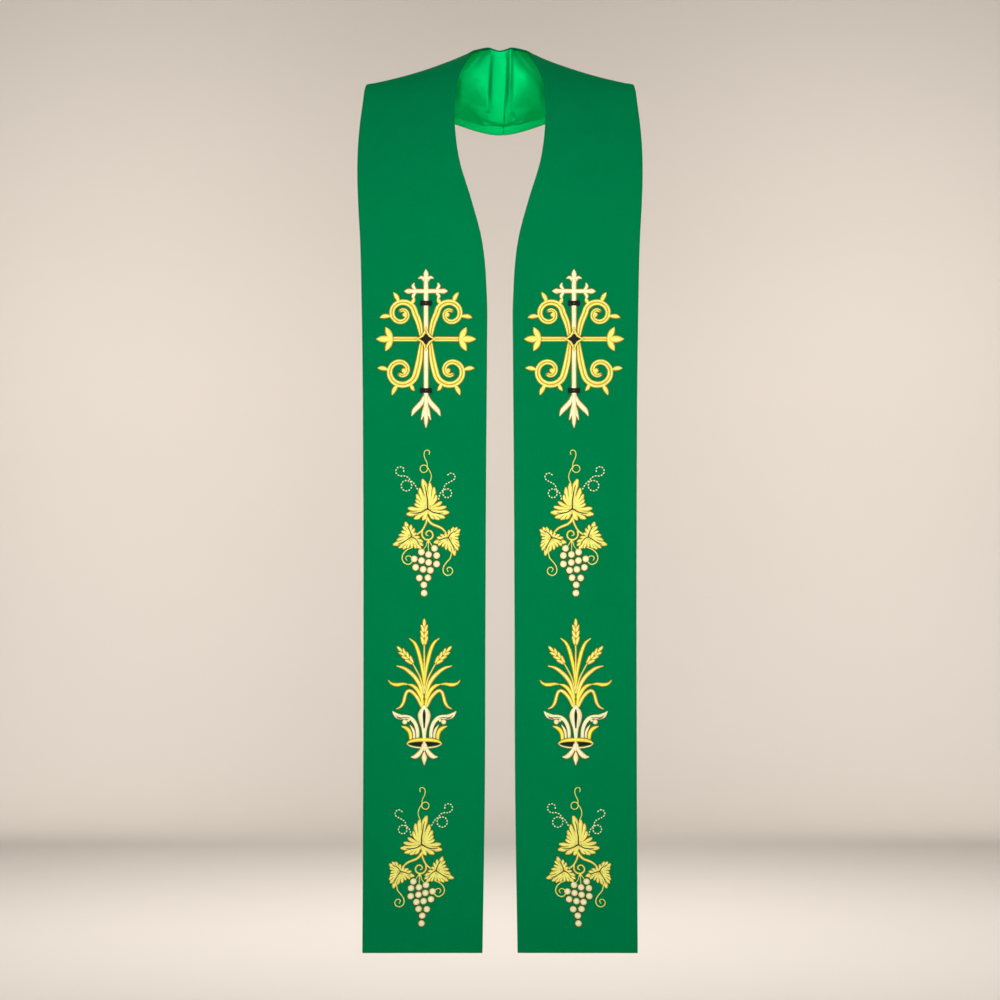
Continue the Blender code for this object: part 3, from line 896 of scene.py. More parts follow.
def padStitches(part, line, crown, base, cells=None, step=None):  # a closed strip with a domed top
    cells = cells or sewing["cells"]
    line = evenLine(line, step or sewing["step"])
    headings, leftwards = headingsOf(line)
    shares = np.array([*caps, *([1.0] * len(line)), *reversed(caps)])
    index = np.concatenate(([0] * len(caps), np.arange(len(line)), [len(line) - 1] * len(caps)))
    ends = np.concatenate(([-1] * len(caps), [0] * len(line), [1] * len(caps)))
    width = line[index, 2]
    out = ends * 0.5 * np.sqrt(1 - shares**2) * width
    centre = line[index, :2] + headings[index] * out[:, None]
    far = distancesOn(centre)
    turn = np.pi * np.arange(cells + 1) / cells
    over, rise, raised = -np.cos(turn), np.sin(turn) ** sewing["dome"], np.ones(cells + 1)
    if base > 2 * sewing["tuck"]:  # a layer stands on a wall that reaches down to the cloth
        over, rise, raised = np.pad(over, 1, "edge"), np.pad(rise, 1, "edge"), np.pad(raised, 1)
    over, rise, raised = np.append(over, over[0]), np.append(rise, 0), np.append(raised, raised[0])
    ground = min(base, sewing["ground"])
    top = np.minimum(crown, width * sewing["slope"]) * np.sqrt(shares)
    half = width * shares / 2
    x, z = (centre[:, k][:, None] - leftwards[index, k][:, None] * half[:, None] * over for k in (0, 1))
    height = ground + (base - ground) * raised + top[:, None] * rise
    shape, uvLayer, paintedCrestLightLayer = part
    rowCount, ring = x.shape
    made = bmesh.ops.create_grid(shape, x_segments=ring - 1, y_segments=rowCount - 1, size=0.5)["verts"]
    where = {}
    for vertex in made:
        j = round((vertex.co.x + 0.5) * (ring - 1))
        i = round((vertex.co.y + 0.5) * (rowCount - 1))
        where[vertex] = (half[i] * over[j] * mm, far[i] * mm)
        # how high the dome stands here, which the thread's colour shows as painted highlight and painted
        # shade
        vertex[paintedCrestLightLayer] = rise[j] * shares[i] ** 0.5
        vertex.co = (x[i, j], -height[i, j], z[i, j])
    unwrap({cell for vertex in made for cell in vertex.link_faces}, uvLayer, where)
    bmesh.ops.remove_doubles(shape, verts=made, dist=sewing["merge"])


def sewOutline(work, thread, line, base, step):
    padStitches(work[thread], line, sewing["edgeCrown"], base - sewing["tuck"], sewing["edgeCells"], step)


def sew(work, thread, line, crown=None, base=0.0, edge="amber", edgeWidth=None):  # a pad with its outline
    padStitches(work[thread], line, crown or sewing["crown"], base + sewing["tuck"])
    extra = 2 * (edgeWidth or sewing["edge"])
    least, fullAt = sewing["edgeLeast"], sewing["edgeFullAt"]
    wide = [(x, z, width + extra * min(1.0, least + width / fullAt)) for x, z, width in line]
    sewOutline(work, edge, wide, base, sewing["edgeStep"])


def sewBoth(work, thread, line, **looks):  # a pad and its mirror image, with outlines
    for shape in bothSides(line):
        sew(work, thread, shape, **looks)


def padBoth(part, line, **looks):  # the same without
    for shape in bothSides(line):
        padStitches(part, shape, **looks)


def sewDouble(work, thread, line, crown=None, base=0.0, gap=0.7):  # two strokes with a line between them
    line = evenLine(line, sewing["step"])
    leftwards = headingsOf(line)[1]
    stroke = np.maximum((line[:, 2] - gap) / 2, sewing["strokeThinnest"])
    for hand in (-1, 1):
        middle = line[:, :2] + leftwards * (hand * (stroke + gap) / 2)[:, None]
        beside = np.column_stack((middle, stroke))
        height = base + sewing["tuck"]
        padStitches(work[thread], beside, crown or sewing["crown"], height, sewing["strokeCells"])
    wide = np.column_stack((line[:, :2], line[:, 2] + 2 * sewing["edge"]))
    sewOutline(work, "amber", wide, base, sewing["step"])


pointedLeaf = ((0, 0.5), (0.28, 0.9), (0.55, 1), (0.8, 0.68), (1, 0.14))  # share of the length, of the width
bluntLobe = ((0, 0.45), (0.3, 0.72), (0.62, 1), (0.85, 0.92), (1, 0.5))
grainForm = ((0, 0.55), (0.25, 0.95), (0.5, 1), (0.78, 0.72), (1, 0.12))


def petalLine(x0, z0, x1, z1, width, bow=0.0, form=pointedLeaf):  # root to tip, bowed to one side
    dx, dz = x1 - x0, z1 - z0
    length = math.hypot(dx, dz)
    line = []
    for share, wide in form:
        off = bow * math.sin(math.pi * share)
        line.append((x0 + dx * share - dz / length * off, z0 + dz * share + dx / length * off, wide * width))
    return line


def petalTowards(x, z, heading, length, width, bow=0.0):
    angle = math.radians(heading)
    return petalLine(x, z, x + length * math.cos(angle), z + length * math.sin(angle), width, bow)


def sewDisc(work, thread, x, z, radius, crown, base, edge="brown", edgeWidth=discs["edge"]):
    for name, reach, top, low, cells in (
        (edge, radius + edgeWidth, discs["edgeCrown"], base, discs["edgeCells"]),
        (thread, radius, crown, base + 2 * sewing["tuck"], discs["cells"]),
    ):
        shape, uvLayer, paintedCrestLightLayer = work[name]
        around, up = cells
        made = bmesh.ops.create_uvsphere(shape, u_segments=around, v_segments=up, radius=1.0)["verts"]
        where = {}
        for vertex in made:
            right, high, out = vertex.co
            away = right * right + high * high
            dip = 1 - discs["dip"] * math.exp(-away / discs["dipWidth"]) if name == thread else 1
            where[vertex] = (right * reach * mm, high * reach * mm)
            # painted highlight at the crest, with painted shade towards the rim and in the dip
            crest = max(0.0, min(1.0, discs["crest"][0] - discs["crest"][1] * away))
            vertex[paintedCrestLightLayer] = crest * (1 - discs["dipShade"] * (1 - dip))
            vertex.co = (x + right * reach, -(low + top * out * dip), z + high * reach)
        unwrap({cell for vertex in made for cell in vertex.link_faces}, uvLayer, where)


def sewDashes(work, thread, line, dash, pitch, width):  # a running stitch
    fine = evenLine([(x, z, 1) for x, z in line], 0.4)
    far = distancesOn(fine)
    count = round(far[-1] / pitch)
    for k in range(count):
        at = far[-1] * (k + 0.5) / count + dash * np.array((-0.5, 0, 0.5))
        points = [(np.interp(a, far, fine[:, 0]), np.interp(a, far, fine[:, 1]), width) for a in at]
        padStitches(
            work[thread], points, sewing["crown"], -sewing["tuck"], sewing["strokeCells"], dash * 0.7
        )





def spiral(x, z, outer, inner, start, turns, width0, width1, cells=15):
    points = []
    for k in range(cells + 1):
        share = k / cells
        angle = math.radians(start + 360 * turns * share)
        radius = outer + (inner - outer) * share
        width = width0 + (width1 - width0) * share
        points.append((x + radius * math.cos(angle), z + radius * math.sin(angle), width))
    return points


def looped(tendril):  # its line, with a small loop on the way
    x, z, radius, start, turns = tendril["loop"]
    loop = spiral(x, z, radius, radius, start, turns, 0, 0, 14)[1:-1]
    return [*tendril["before"], *((px, pz) for px, pz, _ in loop), *tendril["after"]]


def mirrored(line):  # in the emblem's own middle line
    return [(-x, *rest) for x, *rest in line]


def bothSides(line):
    return (line, mirrored(line))


def turned(points, x, z, turn, size=1.0):
    c, s = size * math.cos(math.radians(turn)), size * math.sin(math.radians(turn))
    return [(x + px * c - pz * s, z + px * s + pz * c, *rest) for px, pz, *rest in points]


vine = {
    "leaf": {
        "body": (
            # broad stitches under the lobes, each x, z, width
            ((0, -3, 9), (-1, 8, 10), (-3, 20, 8)),
            ((0, -2, 9), (-10, -4, 10), (-17, -4, 7)),
            ((0, -2, 9), (10, -5, 10), (18, -6, 7)),
            ((-2, 1, 8), (-8, 6, 8), (-11, 9, 5)),
            ((2, 1, 8), (8, 3, 7), (13, 3, 5)),
        ),
        "lobes": (
            # round the leaf from the top: root x z, tip x z, width, bow
            (0.8, 4.0, -6.5, 38.2, 7.8, -1.3),
            (1.5, 5.0, 3.2, 33.0, 6.0, -0.6),
            (3.5, 6.0, 8.5, 27.8, 5.2, -1.4),
            (4.6, 4.6, 11.6, 17.4, 4.6, -1.2),
            (5.0, 2.6, 18.2, 8.8, 4.8, -0.8),
            (5.0, 0.6, 23.8, 2.4, 5.0, -0.8),
            (3.0, -2.0, 27.4, -5.0, 6.6, -1.0),
            (4.0, -4.0, 21.8, -11.4, 5.8, -0.8),
            (3.5, -4.5, 14.6, -13.6, 5.8, -0.4),
            (2.0, -4.5, 7.4, -13.0, 5.0, 0.0),
            (-1.5, -4.5, -6.0, -14.0, 6.0, 0.6),
            (-3.5, -4.6, -16.8, -12.8, 5.8, 0.6),
            (-3.0, -2.4, -26.8, -7.2, 6.8, 0.8),
            (-4.5, 0.4, -25.2, 0.6, 5.6, 1.0),
            (-4.6, 2.6, -16.8, 6.2, 4.8, 0.8),
            (-4.4, 3.8, -15.4, 11.4, 4.6, 0.8),
            (-4.0, 5.0, -14.4, 18.4, 5.2, 1.2),
            (-2.4, 6.0, -10.4, 26.4, 5.8, 1.6),
        ),
        "veins": (
            ((0, -0.6, 2.0), (0.1, 9.6, 1.9), (-1.2, 18.0, 1.8), (-2.4, 25.4, 1.5), (-4.2, 32.0, 0.9)),
            ((0, 0.3, 1.9), (-7.1, -3.9, 1.8), (-12.7, -5.5, 1.8), (-17.4, -6.0, 1.5), (-22.2, -5.4, 0.9)),
            ((0, 0.3, 1.9), (4.7, -3.2, 1.8), (8.5, -5.0, 1.8), (15.4, -6.0, 1.5), (20.8, -5.5, 0.9)),
        ),
    },
    "smallLeaf": {
        "body": (
            ((0, -2, 8), (-1, 7, 9), (-2, 15, 6)),
            ((0, -1, 7), (8, -1, 8), (15, 0, 5)),
            ((0, -1, 7), (-7, -2, 9), (-13, -4, 6)),
        ),
        "lobes": (
            (0.0, 1.0, 0.0, 25.0, 6.2, 1.0),
            (1.6, 5.0, 3.6, 18.4, 4.6, -0.4),
            (3.0, 4.6, 8.4, 13.6, 4.4, -0.6),
            (4.0, 3.6, 11.6, 8.4, 4.2, -0.6),
            (5.0, 2.0, 16.2, 4.8, 4.4, -0.8),
            (3.0, 0.2, 20.0, -0.6, 5.8, 0.6),
            (5.0, -2.0, 13.8, -5.4, 4.4, 0.6),
            (3.0, -2.6, 8.2, -7.2, 4.2, 0.4),
            (1.4, -2.6, 2.0, -7.0, 4.2, 0.0),
            (-1.4, -2.6, -4.4, -8.8, 4.4, -0.4),
            (-3.0, -3.4, -11.4, -10.4, 4.6, -0.6),
            (-4.0, -2.8, -15.8, -8.8, 4.6, -0.6),
            (-3.0, -0.8, -18.2, -4.6, 5.6, -0.6),
            (-5.0, 1.0, -15.2, 0.8, 4.4, 0.6),
            (-4.4, 2.6, -12.0, 5.4, 4.4, 0.6),
            (-4.0, 4.6, -10.8, 11.0, 4.2, 0.8),
            (-3.0, 5.6, -9.8, 16.0, 4.6, 0.8),
            (-1.6, 5.6, -6.4, 20.0, 4.8, 0.8),
        ),
        "veins": (
            ((0, 0, 1.6), (-0.9, 5.0, 1.5), (-1.9, 11.4, 1.4), (-1.8, 20.4, 0.8)),
            ((0, 0, 1.6), (3.4, -0.8, 1.5), (9.4, -1.2, 1.4), (15.4, -0.2, 0.8)),
            ((0, 0, 1.6), (-2.4, -2.2, 1.5), (-5.8, -4.2, 1.4), (-13.0, -5.6, 0.8)),
        ),
    },
    "leaves": (
        # form, x and z of the leaf's heart, turn, size
        ("leaf", 0.2, 0.4, 0, 0.975),
        ("smallLeaf", -21.1, -36.5, 113.8, 0.99),
        ("smallLeaf", 27.4, -37.7, -159.4, 0.935),
    ),
    "stems": (
        ((0, -11, 2.6), (-1.4, -16.5, 2.2), (-3.6, -22, 2.0), (-7.6, -28.4, 2.0), (-13.9, -33.4, 1.8)),
        (
            (0, -11, 3.0), (2.2, -16, 2.9), (7, -20.1, 2.8), (14.4, -23.1, 2.6), (19.6, -26, 2.3),
            (24.4, -31.2, 1.8),
        ),
        (
            (-6.6, -27, 1.9), (-7.2, -34.2, 1.9), (-4.1, -39, 1.9), (1.1, -40.6, 2.0), (6.2, -37.3, 1.9),
            (6.7, -32, 1.8), (3, -28.4, 1.7), (-1.1, -30.0, 1.6), (-2.0, -33.4, 1.5), (0.6, -35.0, 1.1),
        ),
    ),
    "stalks": (
        ((0.6, -41.4, 1.4), (-1.1, -44.5, 1.1), (-1.8, -48.2, 1.0), (-5.2, -53, 0.9)),
        ((1.1, -41.5, 1.4), (1.1, -47.5, 1.1), (1.2, -55.5, 1.0)),
        ((1.6, -41.4, 1.4), (3.4, -44, 1.1), (6.4, -49, 1.0)),
    ),
    "tendrils": (
        (
            (-19.5, -50.2, 1.5), (-27, -53.6, 1.5), (-32.2, -59.3, 1.5), (-33.4, -65.9, 1.5),
            (-30, -71.2, 1.5), (-24.8, -72.7, 1.5), (-20.6, -69.6, 1.4), (-20.4, -65, 1.3),
            (-23.2, -61.9, 1.3), (-26.9, -61.9, 1.2), (-28.8, -64.6, 1.2), (-27, -67.6, 0.9),
        ),
        (
            (31.8, -56.5, 1.5), (29.9, -64.5, 1.5), (24.8, -70.4, 1.5), (20.9, -77, 1.5),
            (21.2, -83.7, 1.5), (26.2, -87.4, 1.5), (31.8, -85.1, 1.4), (33, -80, 1.3),
            (29.3, -76.5, 1.3), (25.6, -78.6, 1.2), (27.2, -82.6, 0.9),
        ),
    ),
    "topTendril": {
        "before": ((1.6, 32.5), (4.4, 39.4), (4.9, 44.4), (2.6, 51.0)),
        "loop": (-4.9, 53.2, 4.9, 15, 1.0),
        "after": (
            (-0.6, 60.8), (-3.2, 66.3), (-4.6, 71.6), (-3.6, 76.2), (-0.5, 77.9), (2.6, 76.2), (2.2, 72.1),
        ),
        "width": 1.2,
    },
    "dotted": (
        {
            "before": ((-12.6, 25.2), (-16.6, 31.9), (-20.0, 36.0)),
            "loop": (-27.7, 30.9, 6.9, 42, 1.0),
            "after": (
                (-24.2, 40.2), (-29.4, 43.6), (-36.1, 43.7), (-40.6, 46.7), (-41.7, 50.7), (-39.4, 54.7),
                (-35.4, 55.8), (-31.4, 53.4), (-31.4, 48.2),
            ),
        },
        {
            "before": ((14.3, 11.7), (15.7, 17.8), (18.4, 23.2)),
            "loop": (26.0, 20.9, 5.8, 138, -1.0),
            "after": (
                (22.4, 30.4), (25.2, 33.6), (30.4, 36.2), (35.2, 39.3), (36.1, 43.3), (33.8, 46.7),
                (29.8, 47.3), (25.7, 44.2),
            ),
        },
    ),
    "dash": (1.0, 4.0, 1.75),  # a dash's middle line, from one to the next, width
    "grapes": (
        (9.2, -51.7), (-8.1, -56.6), (1.3, -59.8), (12.0, -61.1), (-17.5, -65.6), (-7.9, -67.8),
        (1.5, -70.3), (12.0, -72.3), (-15.7, -76.7), (-5.8, -79.4), (3.8, -80.6), (-10.8, -90.7),
        (0.5, -90.4), (-4.9, -99.8), (-4.5, -110.6),
    ),
    "grapeRadius": 4.5,
    "grapeCrown": 1.25,
    "bunchTop": ((0.9, -40.6, 2.6), (0.9, -43.4, 3.0)),
    "worked": (("stems", 0.9, 0.7), ("stalks", 0.6, 0.2), ("tendrils", 0.75, 0.25)),  # crown, outline's width
}
leafWork = {
    # crown and height over the cloth
    "body": (0.5, 0.05),
    "lobe": (0.65, 0.3),
    "notch": (0.45, 0.66),
    "vein": (0.5, 0.98),
    "lobeEdge": 0.55,
    "notchWidths": (0.5, 0.8, 0.8),
    "veinWidth": 0.85,  # of the widths given
    "cells": 4,  # across notches and veins
}


def drawLeaf(work, form, *place):
    for line in form["body"]:
        padStitches(work["gold"], turned(line, *place), *leafWork["body"])
    lobes = [turned(petalLine(*lobe, bluntLobe), *place) for lobe in form["lobes"]]
    for line in lobes:
        sew(work, "gold", line, *leafWork["lobe"], edgeWidth=leafWork["lobeEdge"])
    for line, following in zip(lobes, lobes[1:] + lobes[:1]):  # a dark stitch in each notch
        between = [((a[0] + b[0]) / 2, (a[1] + b[1]) / 2) for a, b in zip(line, following)]
        inner = tuple((a + b) / 2 for a, b in zip(between[1], between[2]))
        places = zip((inner, between[2], between[3]), leafWork["notchWidths"])
        notch = [(*point, width) for point, width in places]
        padStitches(work["brown"], notch, *leafWork["notch"], leafWork["cells"])
    for vein in form["veins"]:
        line = [(x, z, leafWork["veinWidth"] * width) for x, z, width in turned(vein, *place)]
        padStitches(work["black"], line, *leafWork["vein"], leafWork["cells"])


def drawVine(work):
    for part, crown, edgeWidth in vine["worked"]:
        for line in vine[part]:
            sew(work, "gold", line, crown, edgeWidth=edgeWidth)
    top = vine["topTendril"]
    sew(work, "gold", [(x, z, top["width"]) for x, z in looped(top)], crown=0.7, edgeWidth=0.2)
    for dotted in vine["dotted"]:
        sewDashes(work, "cream", looped(dotted), *vine["dash"])
    for form, *place in vine["leaves"]:
        drawLeaf(work, vine[form], *place)
    sew(work, "gold", vine["bunchTop"], base=0.1)
    for x, z in vine["grapes"]:
        sewDisc(work, "cream", x, z, vine["grapeRadius"], vine["grapeCrown"], 0.0)


wheat = {
    "ears": (
        # foot x z, heading, length
        (0.0, 130.4, 90, 33.6),
        (-15.8, 105.4, 132.5, 30.0),
        (15.8, 105.4, 47.5, 30.0),
    ),
    "grains": (
        # share along the ear, off its middle at the root and at the tip, share of its length, width, layer
        (0.68, 0.0, 0.0, 0.31, 4.1, 0),
        (0.45, 1.3, 4.3, 0.30, 3.8, 1),
        (0.225, 1.3, 4.8, 0.30, 3.9, 2),
        (0.0, 1.3, 4.7, 0.30, 3.9, 3),
    ),
    "grain": {"crown": 0.5, "edgeWidth": 0.85},
    "grainBow": 0.8,
    "earLength": 34,  # of the ear that these widths are given for
    "secondGrain": 0.4,  # the later of two grains lies this share of a layer higher
    "sideRise": 0.7,  # the sides' layers are this share of the usual rise
    "stalk": ((0.0, 131, 1.7), (0.0, 100, 1.9), (0.0, 72, 2.4)),
    "sides": (
        # thread, one side's line, layer; the other side mirrors it
        ("gold", ((-15.6, 105.4, 1.5), (-10.1, 95.6, 1.6), (-4.6, 83.8, 1.8), (-0.6, 66, 2.2)), 0),
        (
            "yellow",
            ((-19.5, 137.6, 0.9), (-12.9, 131.8, 3.0), (-8.4, 122.2, 4.0), (-4.6, 107.7, 4.0),
             (-2.2, 94.4, 3.0), (-0.6, 78, 1.8)),
            1,
        ),
        (
            "gold",
            ((-36.0, 101.4, 1.1), (-27.4, 98.9, 3.0), (-19.7, 93.9, 4.2), (-11.9, 86.1, 4.6),
             (-5.8, 75.5, 4.2), (-2.0, 60, 2.8)),
            2,
        ),
        (
            "yellow",
            ((-47.2, 82.4, 0.8), (-43.0, 78.2, 2.6), (-36.2, 76.6, 4.2), (-28.1, 77.7, 3.0),
             (-21.6, 77.3, 1.0)),
            0,
        ),
        (
            "yellow",
            ((-20.9, 77.2, 1.2), (-14.7, 75.2, 3.6), (-8.6, 69.3, 4.4), (-3.4, 58.5, 3.8),
             (-1.9, 50.5, 3.0)),
            3,
        ),
        (
            "gold",
            ((-36.4, 44.9, 0.9), (-30.9, 47.9, 2.4), (-27.3, 53.8, 3.5), (-25.2, 61.9, 3.4),
             (-23.1, 67.2, 3.2), (-19.4, 68.9, 3.4), (-14.2, 65.8, 3.8), (-8.4, 58.7, 3.8),
             (-3.6, 48.6, 3.2)),
            4,
        ),
        (
            "cream",
            ((-8.7, 5.0, 5.0), (-9.4, 16.5, 5.6), (-12.6, 26.0, 6.2), (-17.6, 32.0, 6.0), (-24.0, 34.4, 5.6),
             (-30.6, 34.0, 7.0), (-36.8, 36.4, 6.6), (-41.6, 41.2, 1.4)),
            0,
        ),
        ("cream", ((-13.2, 5.0, 2.8), (-13.4, 12.6, 3.4), (-15.4, 18.6, 3.2), (-18.6, 23.4, 1.0)), 1),
        (
            "yellow",
            ((-17.6, 4.0, 3.4), (-18.0, 10.9, 4.4), (-20.2, 16.3, 4.6), (-24.3, 19.8, 3.8),
             (-29.6, 21.9, 1.0)),
            2,
        ),
    ),
    "creases": (
        # dark lines sewn along the cup's leaves
        ((-11.2, 6.5, 0.9), (-11.7, 16, 1.1), (-14.6, 24.6, 1.1), (-18.6, 29.6, 0.8)),
        ((-19.8, 33.0, 0.8), (-25.6, 33.6, 1.1), (-32.0, 33.4, 1.1), (-37.4, 36.2, 0.8)),
        ((-28.6, 31.6, 0.8), (-32.4, 32.2, 1.1), (-35.6, 33.6, 0.8)),
    ),
    "knobs": ((-25.6, 27.8, 3.4), (-20.8, 29.6, 1.9)),
    "drop": (
        (0, 46.8, 7.0), (0, 43.2, 12.6), (0, 38.8, 16.2), (0, 34.6, 16.8), (0, 27.5, 13.6), (0, 20.2, 8.4),
        (0, 12.8, 5.8), (0, 5, 4.6),
    ),
    "slitRim": 1.7,  # both rims together
    "slit": ((0, 43.4, 0.9), (0, 38.0, 3.2), (0, 31.5, 2.9), (0, 25, 1.5), (0, 20.4, 0.7)),
    "dropCrease": ((0, 22.6, 0.7), (0, 8, 0.6)),
    "ringTop": ((-22.6, -0.6, 1.4), (-18.4, 2.2, 3.0), (-9.5, 3.9, 4.2), (0, 4.3, 4.4)),
    "ringFoot": ((-22.6, -1.6, 1.0), (-17.5, -4.2, 1.6), (-9.5, -5.9, 1.8), (-1.0, -6.4, 1.8)),
    "dark": ((-20.2, -1.0, 0.8), (-14, -1.2, 3.0), (-7, -1.4, 4.8), (-1.6, -1.4, 5.2)),
    "footLobe": (
        (-1.7, -2.0, 2.8), (-2.9, -8, 4.2), (-7.0, -14.2, 5.8), (-11.8, -17.9, 5.4), (-17.0, -18.4, 1.2),
    ),
    "footStem": ((0, 1.2, 3.2), (0, -6, 3.4), (0, -9.5, 2.6)),
    "footTip": ((0, -12.0, 1.4), (0, -16, 5.2), (0, -20, 6.8), (0, -25, 3.6), (0, -28.8, 0.8)),
}


def drawEar(work, x, z, heading, length):
    angle = math.radians(heading)
    ax, az = math.cos(angle), math.sin(angle)
    size = length / wheat["earLength"]
    for at, root, tip, share, width, layer in wheat["grains"]:
        for hand in ((0,) if root == tip else (-1, 1)):
            start, end = at * length, (at + share) * length
            x0, z0 = x + ax * start - az * root * hand, z + az * start + ax * root * hand
            x1, z1 = x + ax * end - az * tip * hand, z + az * end + ax * tip * hand
            line = petalLine(x0, z0, x1, z1, width * size, -wheat["grainBow"] * hand, grainForm)
            base = (layer + (wheat["secondGrain"] if hand > 0 else 0)) * sewing["rise"]
            sew(work, "gold", line, base=base, **wheat["grain"])


def drawWheat(work):
    sew(work, "gold", wheat["stalk"])
    for thread, line, layer in wheat["sides"]:
        edge = "brown" if thread == "cream" else "amber"
        sewBoth(work, thread, line, base=layer * wheat["sideRise"] * sewing["rise"], edge=edge)
    for ear in wheat["ears"]:
        drawEar(work, *ear)
    for crease in wheat["creases"]:
        padBoth(work["brown"], crease, crown=0.4, base=0.75, cells=4)
    for knob in wheat["knobs"]:
        for x, z, radius in (knob, *mirrored([knob])):
            sewDisc(work, "cream", x, z, radius, crown=1.0, base=0.35, edgeWidth=0.6)
    sew(work, "cream", wheat["drop"], crown=1.3, base=1.5, edge="brown")
    rim = [(x, z, width + wheat["slitRim"]) for x, z, width in wheat["slit"]]
    padStitches(work["brown"], rim, crown=0.35, base=2.62, cells=4)
    padStitches(work["black"], wheat["slit"], crown=0.4, base=2.8, cells=4)
    padStitches(work["amber"], wheat["dropCrease"], crown=0.4, base=2.5, cells=4)
    padBoth(work["black"], wheat["dark"], crown=0.5, base=0.9, cells=5)
    sewBoth(work, "cream", wheat["ringFoot"], base=0.9, edgeWidth=0.5)
    top = [*wheat["ringTop"], *reversed(mirrored(wheat["ringTop"][:-1]))]
    sew(work, "yellow", top, crown=1.0, base=2.4)
    sewBoth(work, "cream", wheat["footLobe"], crown=1.0, base=1.2)
    for part in ("footStem", "footTip"):
        sew(work, "cream", wheat[part], crown=1.0, base=1.7)


cross = {
    "staff": ((0, 77, 6.0), (0, 50, 6.0), (0, 0, 5.8), (0, -40, 5.8), (0, -74, 6.0)),
    "arms": ((-20, 63.4, 5.4), (0, 63.4, 5.4), (20, 63.4, 5.4)),
    "armHeight": 63.4,
    "tips": (
        # root x z, tip x z, width
        (0, 78.5, 0, 92.6, 6.4),
        (-17.4, 63.4, -28.2, 63.4, 6.6),
        (17.4, 63.4, 28.2, 63.4, 6.6),
    ),
    "topLeaf": ((-1.9, 75.4, 2.8), (-3.0, 79.8, 4.0), (-6.0, 82.0, 4.0), (-9.6, 80.8, 1.2)),
    "armLeaf": ((-13.0, 64.6, 2.6), (-15.6, 67.6, 3.8), (-17.0, 70.6, 4.0), (-15.8, 74.0, 1.4)),
    "bands": (47.2, -67.8),
    "bandHalves": (-1.6, 1.6),
    "band": ((-6.3, 3.9), (0, 3.4), (6.3, 3.9)),
    "frame": ((0, 15.6, 0.9), (-2.5, 7.4, 2.4), (-6.6, 2.6, 2.4), (-13.0, 0, 0.9)),
    "heart": ((0, 0, 0, 6.6, 6.2), (0, 0, 0, -7.2, 6.2), (0.6, 0, -7.8, 0, 5.6), (-0.6, 0, 7.8, 0, 5.6)),
    "bar": ((-48, 0, 5.8), (-12, 0, 5.8)),
    "trefoilRise": 0.35,
    "trefoil": ((-45, 0, 180, 20, 8.6), (-45, 0, 118, 17, 7.6), (-45, 0, -118, 17, 7.6)),
    "scrolls": (
        (((6, 3, 4.4), (9, 20, 7.8)), (32, 33, 18, 4.5, 180, -1.3, 8.2, 4.2)),
        (((6, -5, 4.4), (8.5, -26, 8.2)), (33, -42, 21, 5, 180, 1.3, 8.8, 4.6)),
    ),
    "scrollEyes": ((28.0, 32.0, 3.0), (29.0, -41.6, 3.2)),
    "leaflets": (
        # root x z, heading, length, width
        (36, 49, 62, 14, 5.4),
        (48, 30, -8, 12.5, 5.4),
        (38, -61, -62, 14, 5.4),
        (51, -40, 8, 12.5, 5.4),
        (20, 46, 118, 10, 4.6),
        (20, -59, -118, 10, 4.6),
    ),
    "pendantSide": (
        (-0.6, -73, 4.4), (-4.6, -82.0, 5.8), (-10.6, -89.0, 6.4), (-15.6, -94.4, 5.6), (-18.6, -100.6, 1.2),
    ),
    "pendantBarb": ((-1.2, -86, 3.0), (-3.0, -96, 4.2), (-6.0, -106.0, 1.2)),
    "pendantTip": ((0, -74, 5.0), (0, -90, 6.2), (0, -102, 5.8), (0, -110, 4.6), (0, -116.4, 0.9)),
}


def drawCross(work):
    for shape in bothSides(cross["bar"]):
        sewDouble(work, "gold", shape, base=0.1)
    for stem, curl in cross["scrolls"]:
        for shape in bothSides([*stem, *spiral(*curl)]):
            sewDouble(work, "gold", shape, crown=0.9)
    for x, z, radius in (*cross["scrollEyes"], *mirrored(cross["scrollEyes"])):
        sewDisc(work, "gold", x, z, radius, crown=1.0, base=0.1, edge="amber", edgeWidth=0.7)
    for leaflet in cross["leaflets"]:
        sewBoth(work, "gold", petalTowards(*leaflet, bow=0.8), base=0.3)
    for k, petal in enumerate(cross["trefoil"]):
        sewBoth(work, "gold", petalTowards(*petal), crown=1.0, base=0.4 + cross["trefoilRise"] * k)
    for shape in bothSides(cross["armLeaf"]):
        for line in (shape, [(x, 2 * cross["armHeight"] - z, width) for x, z, width in shape]):
            sew(work, "cream", line, base=0.2)
    sewBoth(work, "cream", cross["topLeaf"], base=0.2)
    for k, tip in enumerate(cross["tips"]):
        sew(work, "cream", petalLine(*tip), base=0.5 + 0.05 * k)
    sew(work, "cream", cross["arms"], crown=1.0, base=0.7)
    sew(work, "cream", cross["staff"], crown=1.1, base=0.8)
    for z in cross["bands"]:
        for half in cross["bandHalves"]:
            line = [(x, z + half, width) for x, width in cross["band"]]
            padStitches(work["black"], line, crown=0.9, base=1.5)
    for flip in (1, -1):
        line = [(x, z * flip, width) for x, z, width in cross["frame"]]
        sewBoth(work, "gold", line, crown=0.9, base=2.0)
    for petal in cross["heart"]:
        padStitches(work["black"], petalLine(*petal), crown=0.7, base=2.05)
    sewBoth(work, "cream", cross["pendantSide"], crown=1.0, base=0.3)
    sewBoth(work, "cream", cross["pendantBarb"], crown=0.9, base=0.7)
    sew(work, "cream", cross["pendantTip"], crown=1.0, base=1.1)


